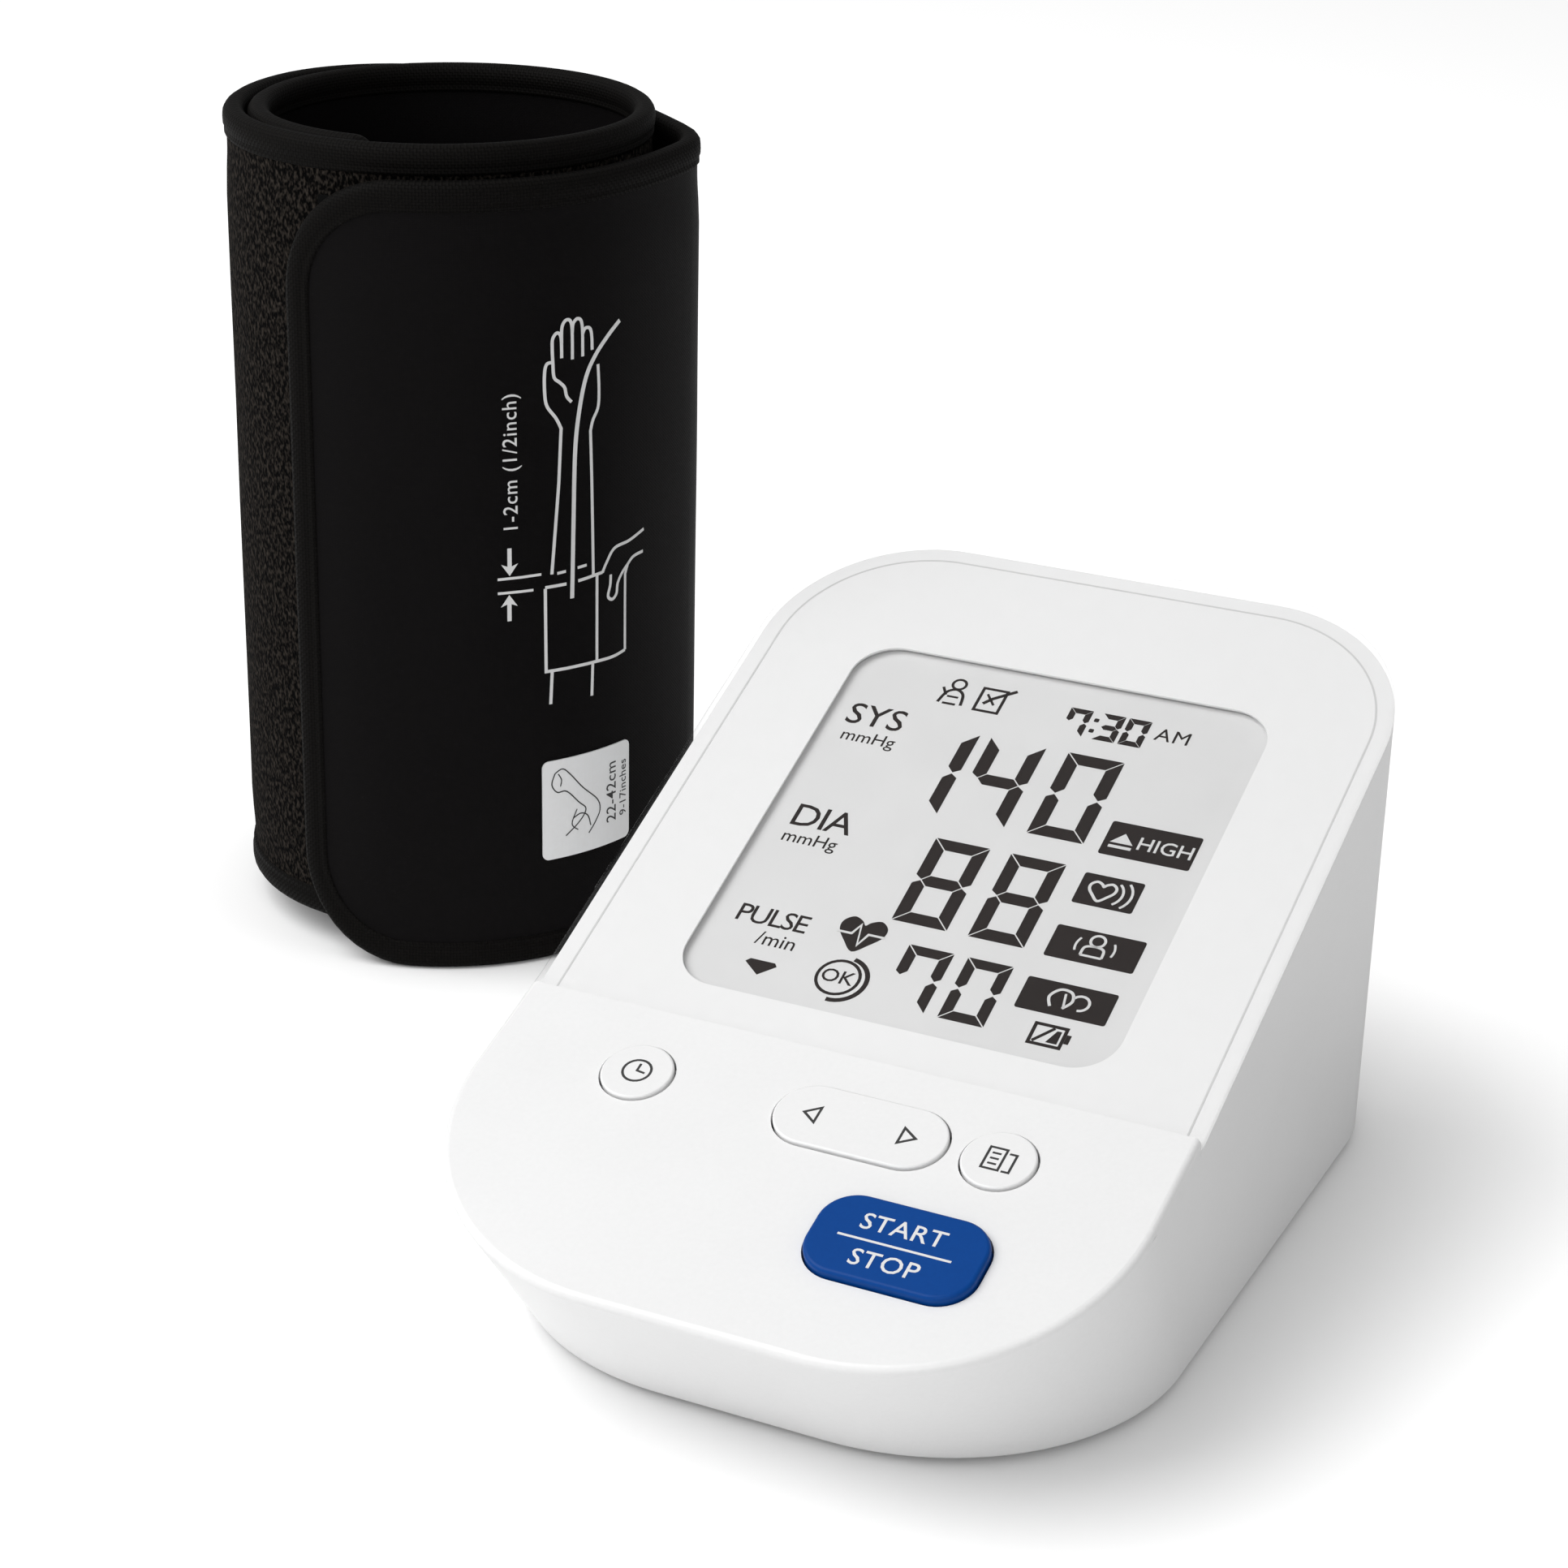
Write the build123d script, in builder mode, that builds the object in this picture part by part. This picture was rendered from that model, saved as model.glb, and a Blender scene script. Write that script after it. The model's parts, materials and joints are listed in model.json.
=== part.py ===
from build123d import *
import os
from math import atan, cos, degrees, radians, sin, tan

# Upper arm blood pressure monitor: a wedge-shaped unit with its display and keys,
# and a rolled fabric arm cuff that stands behind it on the left. All sizes are in mm.
# X runs to the unit's right, Y to its back, Z up from the table.

# ---- the unit's case ----
width = 105.0
depth = 152.0
front_rim_z = 24.5
keys_slope = 18.3
bend_setback = 53.7
display_slope = 23.5
rim_front_radius = 36.0
rim_rear_radius = 26.0
foot_front_radius = 38.0
foot_rear_radius = 18.0
foot_front_inset = 17.6
foot_side_inset = 1.7
foot_rear_inset = 0.3
base_gap = 1.0
split_z = 4.0
wall = 2.2
rim_fillet = 1.0
base_fillet = 1.5
bend_radius = 60.0

# ---- the display ----
cover_setback = 51.7
cover_thickness = 2.0
mask_thickness = 0.4
glue_gap = 0.05
cover_clearance = 0.15
window_width = 69.4
window_length = 75.4
window_radius = 7.0
window_x = 0.3
window_setback = 94.1
glass_drop = 3.2
glass_thickness = 2.0
holder_width = 78.0
holder_length = 84.0
holder_depth = 3.4
board_thickness = 1.6

# ---- the keys ----
key_radius = 5.35
key_row_setback = 39.6
clock_x = -28.2
memory_x = 27.7
rocker_x = 6.9
rocker_length = 26.0
rocker_width = 11.5
start_x = 21.1
start_setback = 20.9
start_width = 25.0
start_height = 14.7
start_radius = 5.5
key_gap = 0.3
key_proud = 0.5
start_proud = 1.3
key_rest_gap = 0.3
flange_rim = 1.2
flange_thickness = 1.3
key_skirt = 0.4
key_travel_room = 0.9
rocker_pin_radius = 0.75
rocker_pin_room = 1.3
key_board_width = 68.0
key_board_length = 36.0
key_board_setback = 31.0
switch_height = 2.5

# ---- batteries and their bay ----
cell_radius = 7.1
cell_length = 49.5
cell_gap = 0.5
bay_setback = 68.0
bay_slack = 1.6
bay_headroom = 1.1
spring_room = 8.1
bay_wall = 1.6
door_thickness = 1.8
door_gap = 0.2
door_tongue = 1.0

# ---- pump, valve and air line ----
pump_from_rear = 28.0
pump_lift = 1.0
head_radius = 13.5
head_length = 24.0
motor_radius = 12.0
motor_length = 30.0
pump_joint_x = -10.0
shaft_radius = 1.0
shaft_clearance = 0.05
line_from_pump = 26.0
line_lift = 4.6
hose_radius = 2.5
nozzle_radius = 1.5
hose_bend = 9.0
outlet_x = -16.0
outlet_rise = 6.5
valve_from_side = 11.8
plunger_radius = 2.5
plunger_clearance = 0.06
jack_bore = 2.4
jack_radius = 4.5
jack_depth = 10.0
dc_x = 20.0
dc_lift = 7.0
dc_bore = 2.85

# ---- fasteners and feet ----
screw_radius = 1.3
screw_head = 2.5
thread_clearance = 0.02
post_radius = 3.5
front_screw_inset = (11.3, 45.8)
rear_screw_inset = (8.3, 9.8)
board_screw_radius = 0.8
board_boss_radius = 2.4
foot_radius = 4.5
front_foot_inset = (26.5, 32.0)
rear_foot_inset = (12.5, 26.0)
foot_recess = 0.8

# ---- the cuff ----
cuff_height = 145.0
roll_radius = 35.0
ease_radius = 63.2
turn_gap = 0.4
strip_thickness = 3.2
binding_width = 5.0
binding_proud = 0.3
outer_cloth = 0.8
inner_cloth = 0.8
stay_thickness = 0.6
roll_turn = 31.4
apart_x = 130.6
apart_y = 82.5
cuff_reach_left = 38.0
cuff_reach_back = 40.0

# The set's footprint is centred on the origin.
monitor_x = (apart_x + cuff_reach_left - width / 2) / 2
monitor_y = -(apart_y + cuff_reach_back - depth / 2) / 2
cuff_x = monitor_x - apart_x
cuff_y = monitor_y + apart_y

keys_rise = tan(radians(keys_slope))
display_rise = tan(radians(display_slope))
bend_y = bend_setback - depth / 2
bend_z = front_rim_z + keys_rise * bend_setback
rear_rim_z = bend_z + display_rise * (depth - bend_setback)
cover_front = cover_setback - depth / 2
window_y = window_setback - depth / 2
key_row_y = key_row_setback - depth / 2
start_y = start_setback - depth / 2
key_board_y = key_board_setback - depth / 2
recess = cover_thickness + mask_thickness
top_wall = recess + wall
glass_bottom = glass_drop + glass_thickness
board_top = top_wall + holder_depth
flange_top = wall + key_rest_gap
flange_bottom = flange_top + flange_thickness
key_bottom = flange_bottom + key_skirt
key_board_drop = key_bottom + key_travel_room + switch_height
rocker_pin_drop = wall + rocker_pin_room
cell_pitch = 2 * cell_radius + cell_gap
cell_z = base_gap + door_thickness + 0.3 + cell_radius
bay_front = depth / 2 - bay_setback
bay_length = cell_length + spring_room
bay_back = bay_front + bay_length
bay_width = 4 * cell_pitch + bay_slack
bay_top = cell_z + cell_radius + bay_headroom
bay_roof = bay_top + bay_wall
pump_y = depth / 2 - pump_from_rear
pump_z = bay_roof + head_radius + pump_lift
line_y = pump_y - line_from_pump
line_z = bay_roof + line_lift
dc_z = bay_roof + dc_lift
outlet_z = pump_z + outlet_rise
valve_x = width / 2 - valve_from_side
front_screw = (width / 2 - wall - front_screw_inset[0], wall + front_screw_inset[1] - depth / 2)
rear_screw = (width / 2 - wall - rear_screw_inset[0], depth / 2 - wall - rear_screw_inset[1])
front_foot = (width / 2 - front_foot_inset[0], front_foot_inset[1] - depth / 2)
rear_foot = (width / 2 - rear_foot_inset[0], depth / 2 - rear_foot_inset[1])
roll_pitch = strip_thickness + 2 * binding_proud + turn_gap
low = (Align.CENTER, Align.CENTER, Align.MIN)

os.makedirs("parts", exist_ok=True)


def save(piece, name):
    """Labels a finished piece and writes it."""
    piece.part.label = name
    export_step(piece.part, f"parts/{name}.step")
    print(name, round(piece.part.volume, 1))


# ---- planes ----


def level(z, x=0.0, y=0.0):
    """Level plane at height z, over a point of the unit."""
    return Plane(origin=(monitor_x + x, monitor_y + y, z))


def side(x=0.0, y=0.0, z=0.0):
    """Upright plane across the unit: its own X runs back and its normal to the right."""
    origin = (monitor_x + x, monitor_y + y, z)
    return Plane(origin=origin, x_dir=(0, 1, 0), z_dir=(1, 0, 0))


def upright(x, y, z):
    """Upright plane that faces back: its own Y runs up and its normal to the rear."""
    origin = (monitor_x + x, monitor_y + y, z)
    return Plane(origin=origin, x_dir=(-1, 0, 0), z_dir=(0, 1, 0))


def keys_line(y, drop=0.0):
    """Height of the key panel at y, or of a layer that much under it."""
    return bend_z + keys_rise * (y - bend_y) - drop / cos(radians(keys_slope))


def display_line(y, drop=0.0):
    """Height of the display's face at y, or of a layer that much under it."""
    return bend_z + display_rise * (y - bend_y) - drop / cos(radians(display_slope))


def tilted(x, y, z, slope, drop):
    """Plane that leans back by a slope, moved down its own normal."""
    normal = (0, -sin(radians(slope)), cos(radians(slope)))
    origin = (monitor_x + x, monitor_y + y, z)
    return Plane(origin=origin, x_dir=(1, 0, 0), z_dir=normal).offset(-drop)


def keys_plane(x=0.0, y=0.0, drop=0.0):
    """Plane of the key panel over a point, or a layer that much under it."""
    return tilted(x, y, keys_line(y), keys_slope, drop)


def display_plane(drop=0.0):
    """Plane of the display's face at the window's centre, or a layer that much under it."""
    return tilted(window_x, window_y, display_line(window_y), display_slope, drop)


def roll_level(z=0.0):
    """Level plane at height z on the cuff's centre, turned as the roll is turned."""
    turned = (cos(radians(roll_turn)), sin(radians(roll_turn)), 0)
    return Plane(origin=(cuff_x, cuff_y, z), x_dir=turned, z_dir=(0, 0, 1))


# ---- forms that several pieces share ----


def outline(plane, size_x, size_y, front_radius, rear_radius):
    """Rounded outline with its own radius at the front and at the rear corners."""
    with BuildSketch(plane) as shape:
        Rectangle(size_x, size_y)
        fillet(shape.vertices().group_by(Axis.Y)[0], front_radius)
        fillet(shape.vertices().group_by(Axis.Y)[-1], rear_radius)
    return shape.sketch


def loft_form(inset, floor_z):
    """The unit's tapered walls from a floor to above the face, or the form of their hollow."""
    foot_width = width - 2 * foot_side_inset - 2 * inset
    foot_depth = depth - foot_front_inset - foot_rear_inset - 2 * inset
    foot_plane = level(floor_z, y=(foot_front_inset - foot_rear_inset) / 2)
    rim_angle = degrees(atan((rear_rim_z - front_rim_z) / depth))
    rim_length = depth / cos(radians(rim_angle)) - 2 * inset
    rim_plane = tilted(0, 0, (front_rim_z + rear_rim_z) / 2, rim_angle, -0.4)
    front = foot_front_radius - inset
    rear = foot_rear_radius - inset
    rim_front = rim_front_radius - inset
    rim_rear = rim_rear_radius - inset
    with BuildPart() as form:
        foot = outline(foot_plane, foot_width, foot_depth, front, rear)
        rim = outline(rim_plane, width - 2 * inset, rim_length, rim_front, rim_rear)
        loft([foot.face(), rim.face()], ruled=True)
    return form.part


def across(points, reach=width):
    """Bar with an outline of (y, z) points that runs across the unit."""
    with BuildPart() as bar:
        with BuildSketch(side()):
            with BuildLine():
                Polyline(points, close=True)
            make_face()
        extrude(amount=reach, both=True)
    return bar.part


def over_face():
    """Everything above the unit's face, whose two slopes meet in a soft bend."""
    far = depth
    top = 3 * rear_rim_z
    start = (-far, keys_line(-far))
    finish = (far, display_line(far))
    with BuildPart() as bar:
        with BuildSketch(side()):
            with BuildLine():
                FilletPolyline(start, (bend_y, bend_z), finish, radius=bend_radius)
                Polyline(finish, (far, top), (-far, top), start)
            make_face()
        extrude(amount=width, both=True)
    return bar.part


def over_hollow():
    """Everything above the ceiling inside, which steps down under the display's recess."""
    far = depth
    top = 3 * rear_rim_z
    step = cover_front - wall - 0.3
    ceiling = [(-far, keys_line(-far, wall)), (step, keys_line(step, wall))]
    ceiling += [(step, display_line(step, top_wall)), (far, display_line(far, top_wall))]
    return across(ceiling + [(far, top), (-far, top)])


def over_display(drop, gap=0.0):
    """Everything above a layer of the display, behind its straight front edge."""
    front = cover_front + gap
    far = depth
    top = 3 * rear_rim_z
    bottom = [(front, display_line(front, drop)), (far, display_line(far, drop))]
    return across(bottom + [(far, top), (front, top)])


def slab(z_low, z_high):
    """Level slab that covers the unit between two heights."""
    with BuildPart(level(z_low)) as layer:
        Box(2 * width, 2 * depth, z_high - z_low, align=low)
    return layer.part


def mirrored(point):
    """A point and its mirror image on the unit's other side."""
    return [point, (-point[0], point[1])]


def ring_edges(form):
    """Edges round the unit's face."""
    tops = form.faces().filter_by(lambda face: face.normal_at().Z > 0.85)
    rims = [edge for face in tops for edge in face.edges()]
    return ShapeList([edge for edge in rims if rims.count(edge) == 1])


with BuildPart() as outer_form:
    add(loft_form(0, base_gap))
    add(over_face(), mode=Mode.SUBTRACT)
    fillet(outer_form.faces().sort_by(Axis.Z)[0].edges(), base_fillet)
    fillet(ring_edges(outer_form), rim_fillet)

with BuildPart() as hollow:
    add(loft_form(wall, base_gap + wall))
    add(over_hollow(), mode=Mode.SUBTRACT)

screws = mirrored(front_screw) + mirrored(rear_screw)
feet = mirrored(front_foot) + mirrored(rear_foot)
half_holder_x = holder_width / 2 - 3
half_holder_y = holder_length / 2 - 3
holder_corners = [(x, y) for x in (-half_holder_x, half_holder_x) for y in (-half_holder_y, half_holder_y)]
board_spots = [(-14.0, 9.0), (-24.0, -11.0), (2.0, -12.0)]
half_window_y = window_length / 2

# ---- upper case: the wedge's walls and top, with the display's recess and the key holes ----

post_bottom = split_z + 1.0
with BuildPart() as upper_case:
    add(outer_form.part)
    add(hollow.part, mode=Mode.SUBTRACT)
    add(slab(-1, split_z), mode=Mode.SUBTRACT)
    with BuildSketch(level(post_bottom)):
        with Locations(*screws):
            Circle(post_radius)
    extrude(amount=rear_rim_z + 5)
    with BuildSketch(level(post_bottom)):
        with Locations(*screws):
            Circle(screw_radius + thread_clearance)
    extrude(amount=10.0, mode=Mode.SUBTRACT)
    add(over_face(), mode=Mode.SUBTRACT)
    add(over_display(recess), mode=Mode.SUBTRACT)
    with BuildSketch(display_plane(top_wall + 0.5)):
        RectangleRounded(window_width + 1.5, window_length + 1.5, window_radius + 0.7)
    extrude(amount=wall + 1.0, mode=Mode.SUBTRACT)
    with BuildSketch(display_plane(top_wall)):
        with Locations(*holder_corners):
            Circle(board_screw_radius + thread_clearance)
    extrude(amount=1.7, mode=Mode.SUBTRACT)
    for key_x in (clock_x, memory_x):
        with BuildSketch(keys_plane(key_x, key_row_y, wall + 0.5)):
            Circle(key_radius + key_gap)
        extrude(amount=wall + 3, mode=Mode.SUBTRACT)
    with BuildSketch(keys_plane(rocker_x, key_row_y, wall + 0.5)):
        SlotOverall(rocker_length + 2 * key_gap, rocker_width + 2 * key_gap)
    extrude(amount=wall + 3, mode=Mode.SUBTRACT)
    with BuildSketch(keys_plane(start_x, start_y, wall + 0.5)):
        RectangleRounded(start_width + 2 * key_gap, start_height + 2 * key_gap, start_radius + key_gap)
    extrude(amount=wall + 3, mode=Mode.SUBTRACT)
    with BuildSketch(keys_plane(0, key_board_y, key_board_drop)):
        with Locations(*board_spots):
            Circle(board_boss_radius)
            Circle(board_screw_radius + thread_clearance, mode=Mode.SUBTRACT)
    extrude(amount=key_board_drop - wall + 0.2)
    lug_y = rocker_width / 2 + key_gap + 1.1
    with BuildSketch(keys_plane(rocker_x, key_row_y, rocker_pin_drop + 1.5)):
        with Locations((0, lug_y), (0, -lug_y)):
            Rectangle(4.0, 1.6)
    extrude(amount=rocker_pin_drop + 1.5 - wall + 0.2)
    pin_line = keys_plane(rocker_x, key_row_y, rocker_pin_drop)
    with BuildSketch(Plane(pin_line.origin, x_dir=pin_line.x_dir, z_dir=-pin_line.y_dir)):
        Circle(rocker_pin_radius + thread_clearance)
    extrude(amount=lug_y + 0.9, both=True, mode=Mode.SUBTRACT)
    with BuildSketch(side(-width / 2 - 2, line_y, line_z)):
        Circle(jack_radius + 0.15)
    extrude(amount=8.0, mode=Mode.SUBTRACT)
    with BuildSketch(upright(dc_x, depth / 2 - wall - 1.5, dc_z)):
        Circle(dc_bore + 0.9)
    extrude(amount=8.0, mode=Mode.SUBTRACT)
save(upper_case, "upper_case")

# ---- lower case: the base plate with the battery bay, screw bosses and cradles ----

bay_mid = (bay_front + bay_back) / 2
rail_x = bay_width / 2 + door_tongue
door_top = base_gap + door_thickness
deck_length = depth / 2 - wall - 0.4 - bay_back
with BuildPart() as lower_case:
    add(outer_form.part)
    add(hollow.part, mode=Mode.SUBTRACT)
    add(slab(split_z, 3 * rear_rim_z), mode=Mode.SUBTRACT)
    with BuildSketch(level(base_gap + wall)):
        with Locations(*screws):
            Circle(post_radius + 1.0)
    extrude(amount=post_bottom - base_gap - wall)
    with BuildSketch(level(base_gap + 0.2, y=bay_mid)):
        Rectangle(bay_width + 2 * bay_wall + 2, bay_length + 2 * bay_wall)
    extrude(amount=bay_roof - base_gap - 0.2)
    with BuildSketch(level(base_gap - 1, y=bay_mid)):
        Rectangle(bay_width, bay_length)
    extrude(amount=bay_top - base_gap + 1, mode=Mode.SUBTRACT)
    with BuildSketch(level(door_top + 0.3, y=bay_back)):
        Rectangle(bay_width + 2 * bay_wall + 2, deck_length, align=(Align.CENTER, Align.MIN))
    extrude(amount=1.6)
    with BuildSketch(level(base_gap - 1, y=bay_front)):
        Rectangle(bay_width, depth, align=(Align.CENTER, Align.MIN))
    extrude(amount=door_thickness + 1 + 0.3, mode=Mode.SUBTRACT)
    with BuildSketch(level(base_gap + 0.7, y=bay_front)):
        Rectangle(2 * rail_x + 2 * door_gap, depth, align=(Align.CENTER, Align.MIN))
    extrude(amount=door_thickness - 0.4, mode=Mode.SUBTRACT)
    with BuildSketch(level(base_gap - 1)):
        with Locations(*screws):
            Circle(screw_radius + 0.2)
    extrude(amount=split_z + 4, mode=Mode.SUBTRACT)
    with BuildSketch(level(base_gap - 1)):
        with Locations(*screws):
            Circle(screw_head + 0.2)
    extrude(amount=3.4, mode=Mode.SUBTRACT)
    with BuildSketch(level(base_gap - 1)):
        with Locations(*feet):
            Circle(foot_radius + 0.05)
    extrude(amount=1 + foot_recess, mode=Mode.SUBTRACT)
    for cradle_x, cradle_radius in ((pump_joint_x - 14, head_radius), (pump_joint_x + 20, motor_radius)):
        with BuildSketch(side(cradle_x, pump_y, bay_roof)):
            Rectangle(30.0, pump_z - bay_roof, align=(Align.CENTER, Align.MIN))
            with Locations((0, pump_z - bay_roof)):
                Circle(cradle_radius + 0.05, mode=Mode.SUBTRACT)
        extrude(amount=2.0)
    with BuildSketch(side(wall + 3.8 - width / 2, line_y, base_gap + wall)):
        Rectangle(15.0, line_z - base_gap - wall, align=(Align.CENTER, Align.MIN))
        with Locations((0, line_z - base_gap - wall)):
            Circle(jack_radius + 0.05, mode=Mode.SUBTRACT)
    extrude(amount=2.0)
    with BuildSketch(level(bay_roof, dc_x, bay_back - 3)):
        Rectangle(9.0, 8.0)
    extrude(amount=dc_z - 5.5 - bay_roof)
save(lower_case, "lower_case")

# ---- battery cover, batteries and their contacts ----

with BuildPart() as battery_cover:
    add(outer_form.part)
    add(slab(base_gap + door_thickness, 3 * rear_rim_z), mode=Mode.SUBTRACT)
    with BuildSketch(level(base_gap - 1, y=bay_front + door_gap)):
        Rectangle(bay_width - 2 * door_gap, depth, align=(Align.CENTER, Align.MIN))
    extrude(amount=door_thickness + 1, mode=Mode.INTERSECT)
    with BuildSketch(level(base_gap + 0.8, y=bay_front + door_gap)):
        Rectangle(2 * rail_x, bay_length - 2, align=(Align.CENTER, Align.MIN))
    extrude(amount=door_thickness - 0.8 - 0.2)
    for groove in range(5):
        with BuildSketch(level(base_gap - 0.5, y=bay_back - 8 + 2.5 * groove)):
            Rectangle(24.0, 1.0)
        extrude(amount=0.9, mode=Mode.SUBTRACT)
save(battery_cover, "battery_cover")

cell_rows = [(index - 1.5) * cell_pitch for index in range(4)]
contact_thickness = 0.4
spring_length = bay_length - cell_length - 1.0 - 2 * contact_thickness
with BuildPart() as batteries:
    for index, cell_x in enumerate(cell_rows):
        turn = 1 if index % 2 == 0 else -1
        button_end = bay_mid + turn * (bay_length / 2 - contact_thickness)
        with BuildSketch(upright(cell_x, button_end - turn * (1.0 + cell_length / 2), cell_z)):
            Circle(cell_radius)
        extrude(amount=cell_length / 2, both=True)
        with BuildSketch(upright(cell_x, button_end - turn * 0.5, cell_z)):
            Circle(2.7)
        extrude(amount=0.5, both=True)
save(batteries, "batteries")

with BuildPart() as battery_contacts:
    for contact_y in (bay_front + contact_thickness / 2, bay_back - contact_thickness / 2):
        for cell_x in cell_rows:
            with BuildSketch(upright(cell_x, contact_y, cell_z)):
                Rectangle(12.0, 12.0)
            extrude(amount=contact_thickness / 2, both=True)
save(battery_contacts, "battery_contacts")

with BuildPart() as battery_springs:
    for index, cell_x in enumerate(cell_rows):
        turn = -1 if index % 2 == 0 else 1
        seat = bay_mid + turn * (bay_length / 2 - contact_thickness)
        coils = 4
        for coil in range(coils):
            along = seat - turn * (spring_length * (coil + 0.5) / coils)
            with BuildSketch(upright(cell_x, along, cell_z)):
                Circle(4.6 - 0.5 * coil)
                Circle(3.8 - 0.5 * coil, mode=Mode.SUBTRACT)
            extrude(amount=spring_length / coils / 2, both=True)
save(battery_springs, "battery_springs")

# ---- display: clear cover, printed border, glass panel, its holder and the main board ----

with BuildPart() as display_cover:
    add(outer_form.part)
    add(over_display(cover_thickness, cover_clearance), mode=Mode.INTERSECT)
save(display_cover, "display_cover")

with BuildPart() as display_mask:
    add(outer_form.part)
    add(over_display(recess, cover_clearance), mode=Mode.INTERSECT)
    add(over_display(cover_thickness + glue_gap), mode=Mode.SUBTRACT)
    with BuildSketch(display_plane(recess + 1)):
        RectangleRounded(window_width, window_length, window_radius)
    extrude(amount=recess, mode=Mode.SUBTRACT)
save(display_mask, "display_mask")

with BuildPart() as lcd_panel:
    with BuildSketch(display_plane(glass_bottom)):
        RectangleRounded(window_width + 1.0, window_length + 1.0, window_radius + 0.5)
    extrude(amount=glass_thickness)
save(lcd_panel, "lcd_panel")

with BuildPart() as lcd_holder:
    with BuildSketch(display_plane(board_top)):
        Rectangle(holder_width, holder_length)
        Rectangle(window_width - 8, window_length - 8, mode=Mode.SUBTRACT)
        with Locations(*holder_corners):
            Circle(board_screw_radius + 0.2, mode=Mode.SUBTRACT)
    extrude(amount=holder_depth)
    with BuildSketch(display_plane(glass_bottom)):
        RectangleRounded(window_width + 1.5, window_length + 1.5, window_radius + 0.7)
    extrude(amount=glass_thickness, mode=Mode.SUBTRACT)
save(lcd_holder, "lcd_holder")

with BuildPart() as zebra_strips:
    with BuildSketch(display_plane(board_top)):
        with Locations((0, half_window_y - 6), (0, 6 - half_window_y)):
            Rectangle(window_width - 10, 2.0)
    extrude(amount=board_top - glass_bottom)
save(zebra_strips, "zebra_strips")

board_bottom = board_top + board_thickness
with BuildPart() as main_board:
    with BuildSketch(display_plane(board_bottom)):
        Rectangle(holder_width, holder_length)
        with Locations(*holder_corners):
            Circle(board_screw_radius + 0.2, mode=Mode.SUBTRACT)
    extrude(amount=board_thickness)
save(main_board, "main_board")

with BuildPart() as board_chips:
    with BuildSketch(display_plane(board_bottom + 1.5)):
        with Locations((-10, 18)):
            Rectangle(12.0, 12.0)
        with Locations((14, 20), (16, 4)):
            Rectangle(6.0, 5.0)
        with Locations((-22, -4)):
            Rectangle(8.0, 3.0)
    extrude(amount=1.5)
save(board_chips, "board_chips")

# ---- keys, their board and its switches ----


def round_key(x):
    """Round key: cap, retaining flange and the edge rounding of its top."""
    with BuildPart() as key:
        with BuildSketch(keys_plane(x, key_row_y, key_bottom)):
            Circle(key_radius)
        extrude(amount=key_bottom + key_proud)
        fillet(key.faces().sort_by(Axis.Z)[-1].edges(), 0.3)
        with BuildSketch(keys_plane(x, key_row_y, flange_bottom)):
            Circle(key_radius + flange_rim)
        extrude(amount=flange_bottom - flange_top)
    return key


clock_button = round_key(clock_x)
save(clock_button, "clock_button")
memory_button = round_key(memory_x)
save(memory_button, "memory_button")

start_flange_x = start_width + 2 * flange_rim
start_flange_y = start_height + 2 * flange_rim
with BuildPart() as start_stop_button:
    with BuildSketch(keys_plane(start_x, start_y, key_bottom)):
        RectangleRounded(start_width, start_height, start_radius)
    extrude(amount=key_bottom + start_proud)
    fillet(start_stop_button.faces().sort_by(Axis.Z)[-1].edges(), 0.6)
    with BuildSketch(keys_plane(start_x, start_y, flange_bottom)):
        RectangleRounded(start_flange_x, start_flange_y, start_radius + flange_rim)
    extrude(amount=flange_bottom - flange_top)
save(start_stop_button, "start_stop_button")

rocker_stem = 8.5
with BuildPart() as arrow_rocker:
    with BuildSketch(keys_plane(rocker_x, key_row_y, wall + 0.2)):
        SlotOverall(rocker_length, rocker_width)
    extrude(amount=wall + 0.2 + key_proud)
    fillet(arrow_rocker.faces().sort_by(Axis.Z)[-1].edges(), 0.3)
    with BuildSketch(keys_plane(rocker_x, key_row_y, rocker_pin_drop + 1.5)):
        Rectangle(4.0, rocker_width - 1.5)
    extrude(amount=rocker_pin_drop - 0.5)
    with BuildSketch(keys_plane(rocker_x, key_row_y, key_bottom)):
        with Locations((rocker_stem, 0), (-rocker_stem, 0)):
            Circle(1.5)
    extrude(amount=key_bottom - wall + 0.2)
    with BuildSketch(Plane(pin_line.origin, x_dir=pin_line.x_dir, z_dir=-pin_line.y_dir)):
        Circle(rocker_pin_radius + shaft_clearance)
    extrude(amount=rocker_width, both=True, mode=Mode.SUBTRACT)
save(arrow_rocker, "arrow_rocker")

with BuildPart() as rocker_pin:
    with BuildSketch(Plane(pin_line.origin, x_dir=pin_line.x_dir, z_dir=-pin_line.y_dir)):
        Circle(rocker_pin_radius)
    extrude(amount=lug_y + 0.8, both=True)
save(rocker_pin, "rocker_pin")

with BuildPart() as key_board:
    with BuildSketch(keys_plane(0, key_board_y, key_board_drop + board_thickness)):
        Rectangle(key_board_width, key_board_length)
        with Locations(*board_spots):
            Circle(board_screw_radius + 0.2, mode=Mode.SUBTRACT)
    extrude(amount=board_thickness)
save(key_board, "key_board")

switch_spots = [(clock_x, key_row_y), (memory_x, key_row_y), (start_x, start_y)]
switch_spots += [(rocker_x - rocker_stem, key_row_y), (rocker_x + rocker_stem, key_row_y)]
with BuildPart() as key_switches:
    for spot_x, spot_y in switch_spots:
        with BuildSketch(keys_plane(spot_x, spot_y, key_board_drop)):
            Rectangle(6.0, 6.0)
        extrude(amount=switch_height - 0.6)
        with BuildSketch(keys_plane(spot_x, spot_y, key_board_drop)):
            Circle(1.7)
        extrude(amount=switch_height)
save(key_switches, "key_switches")

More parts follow.
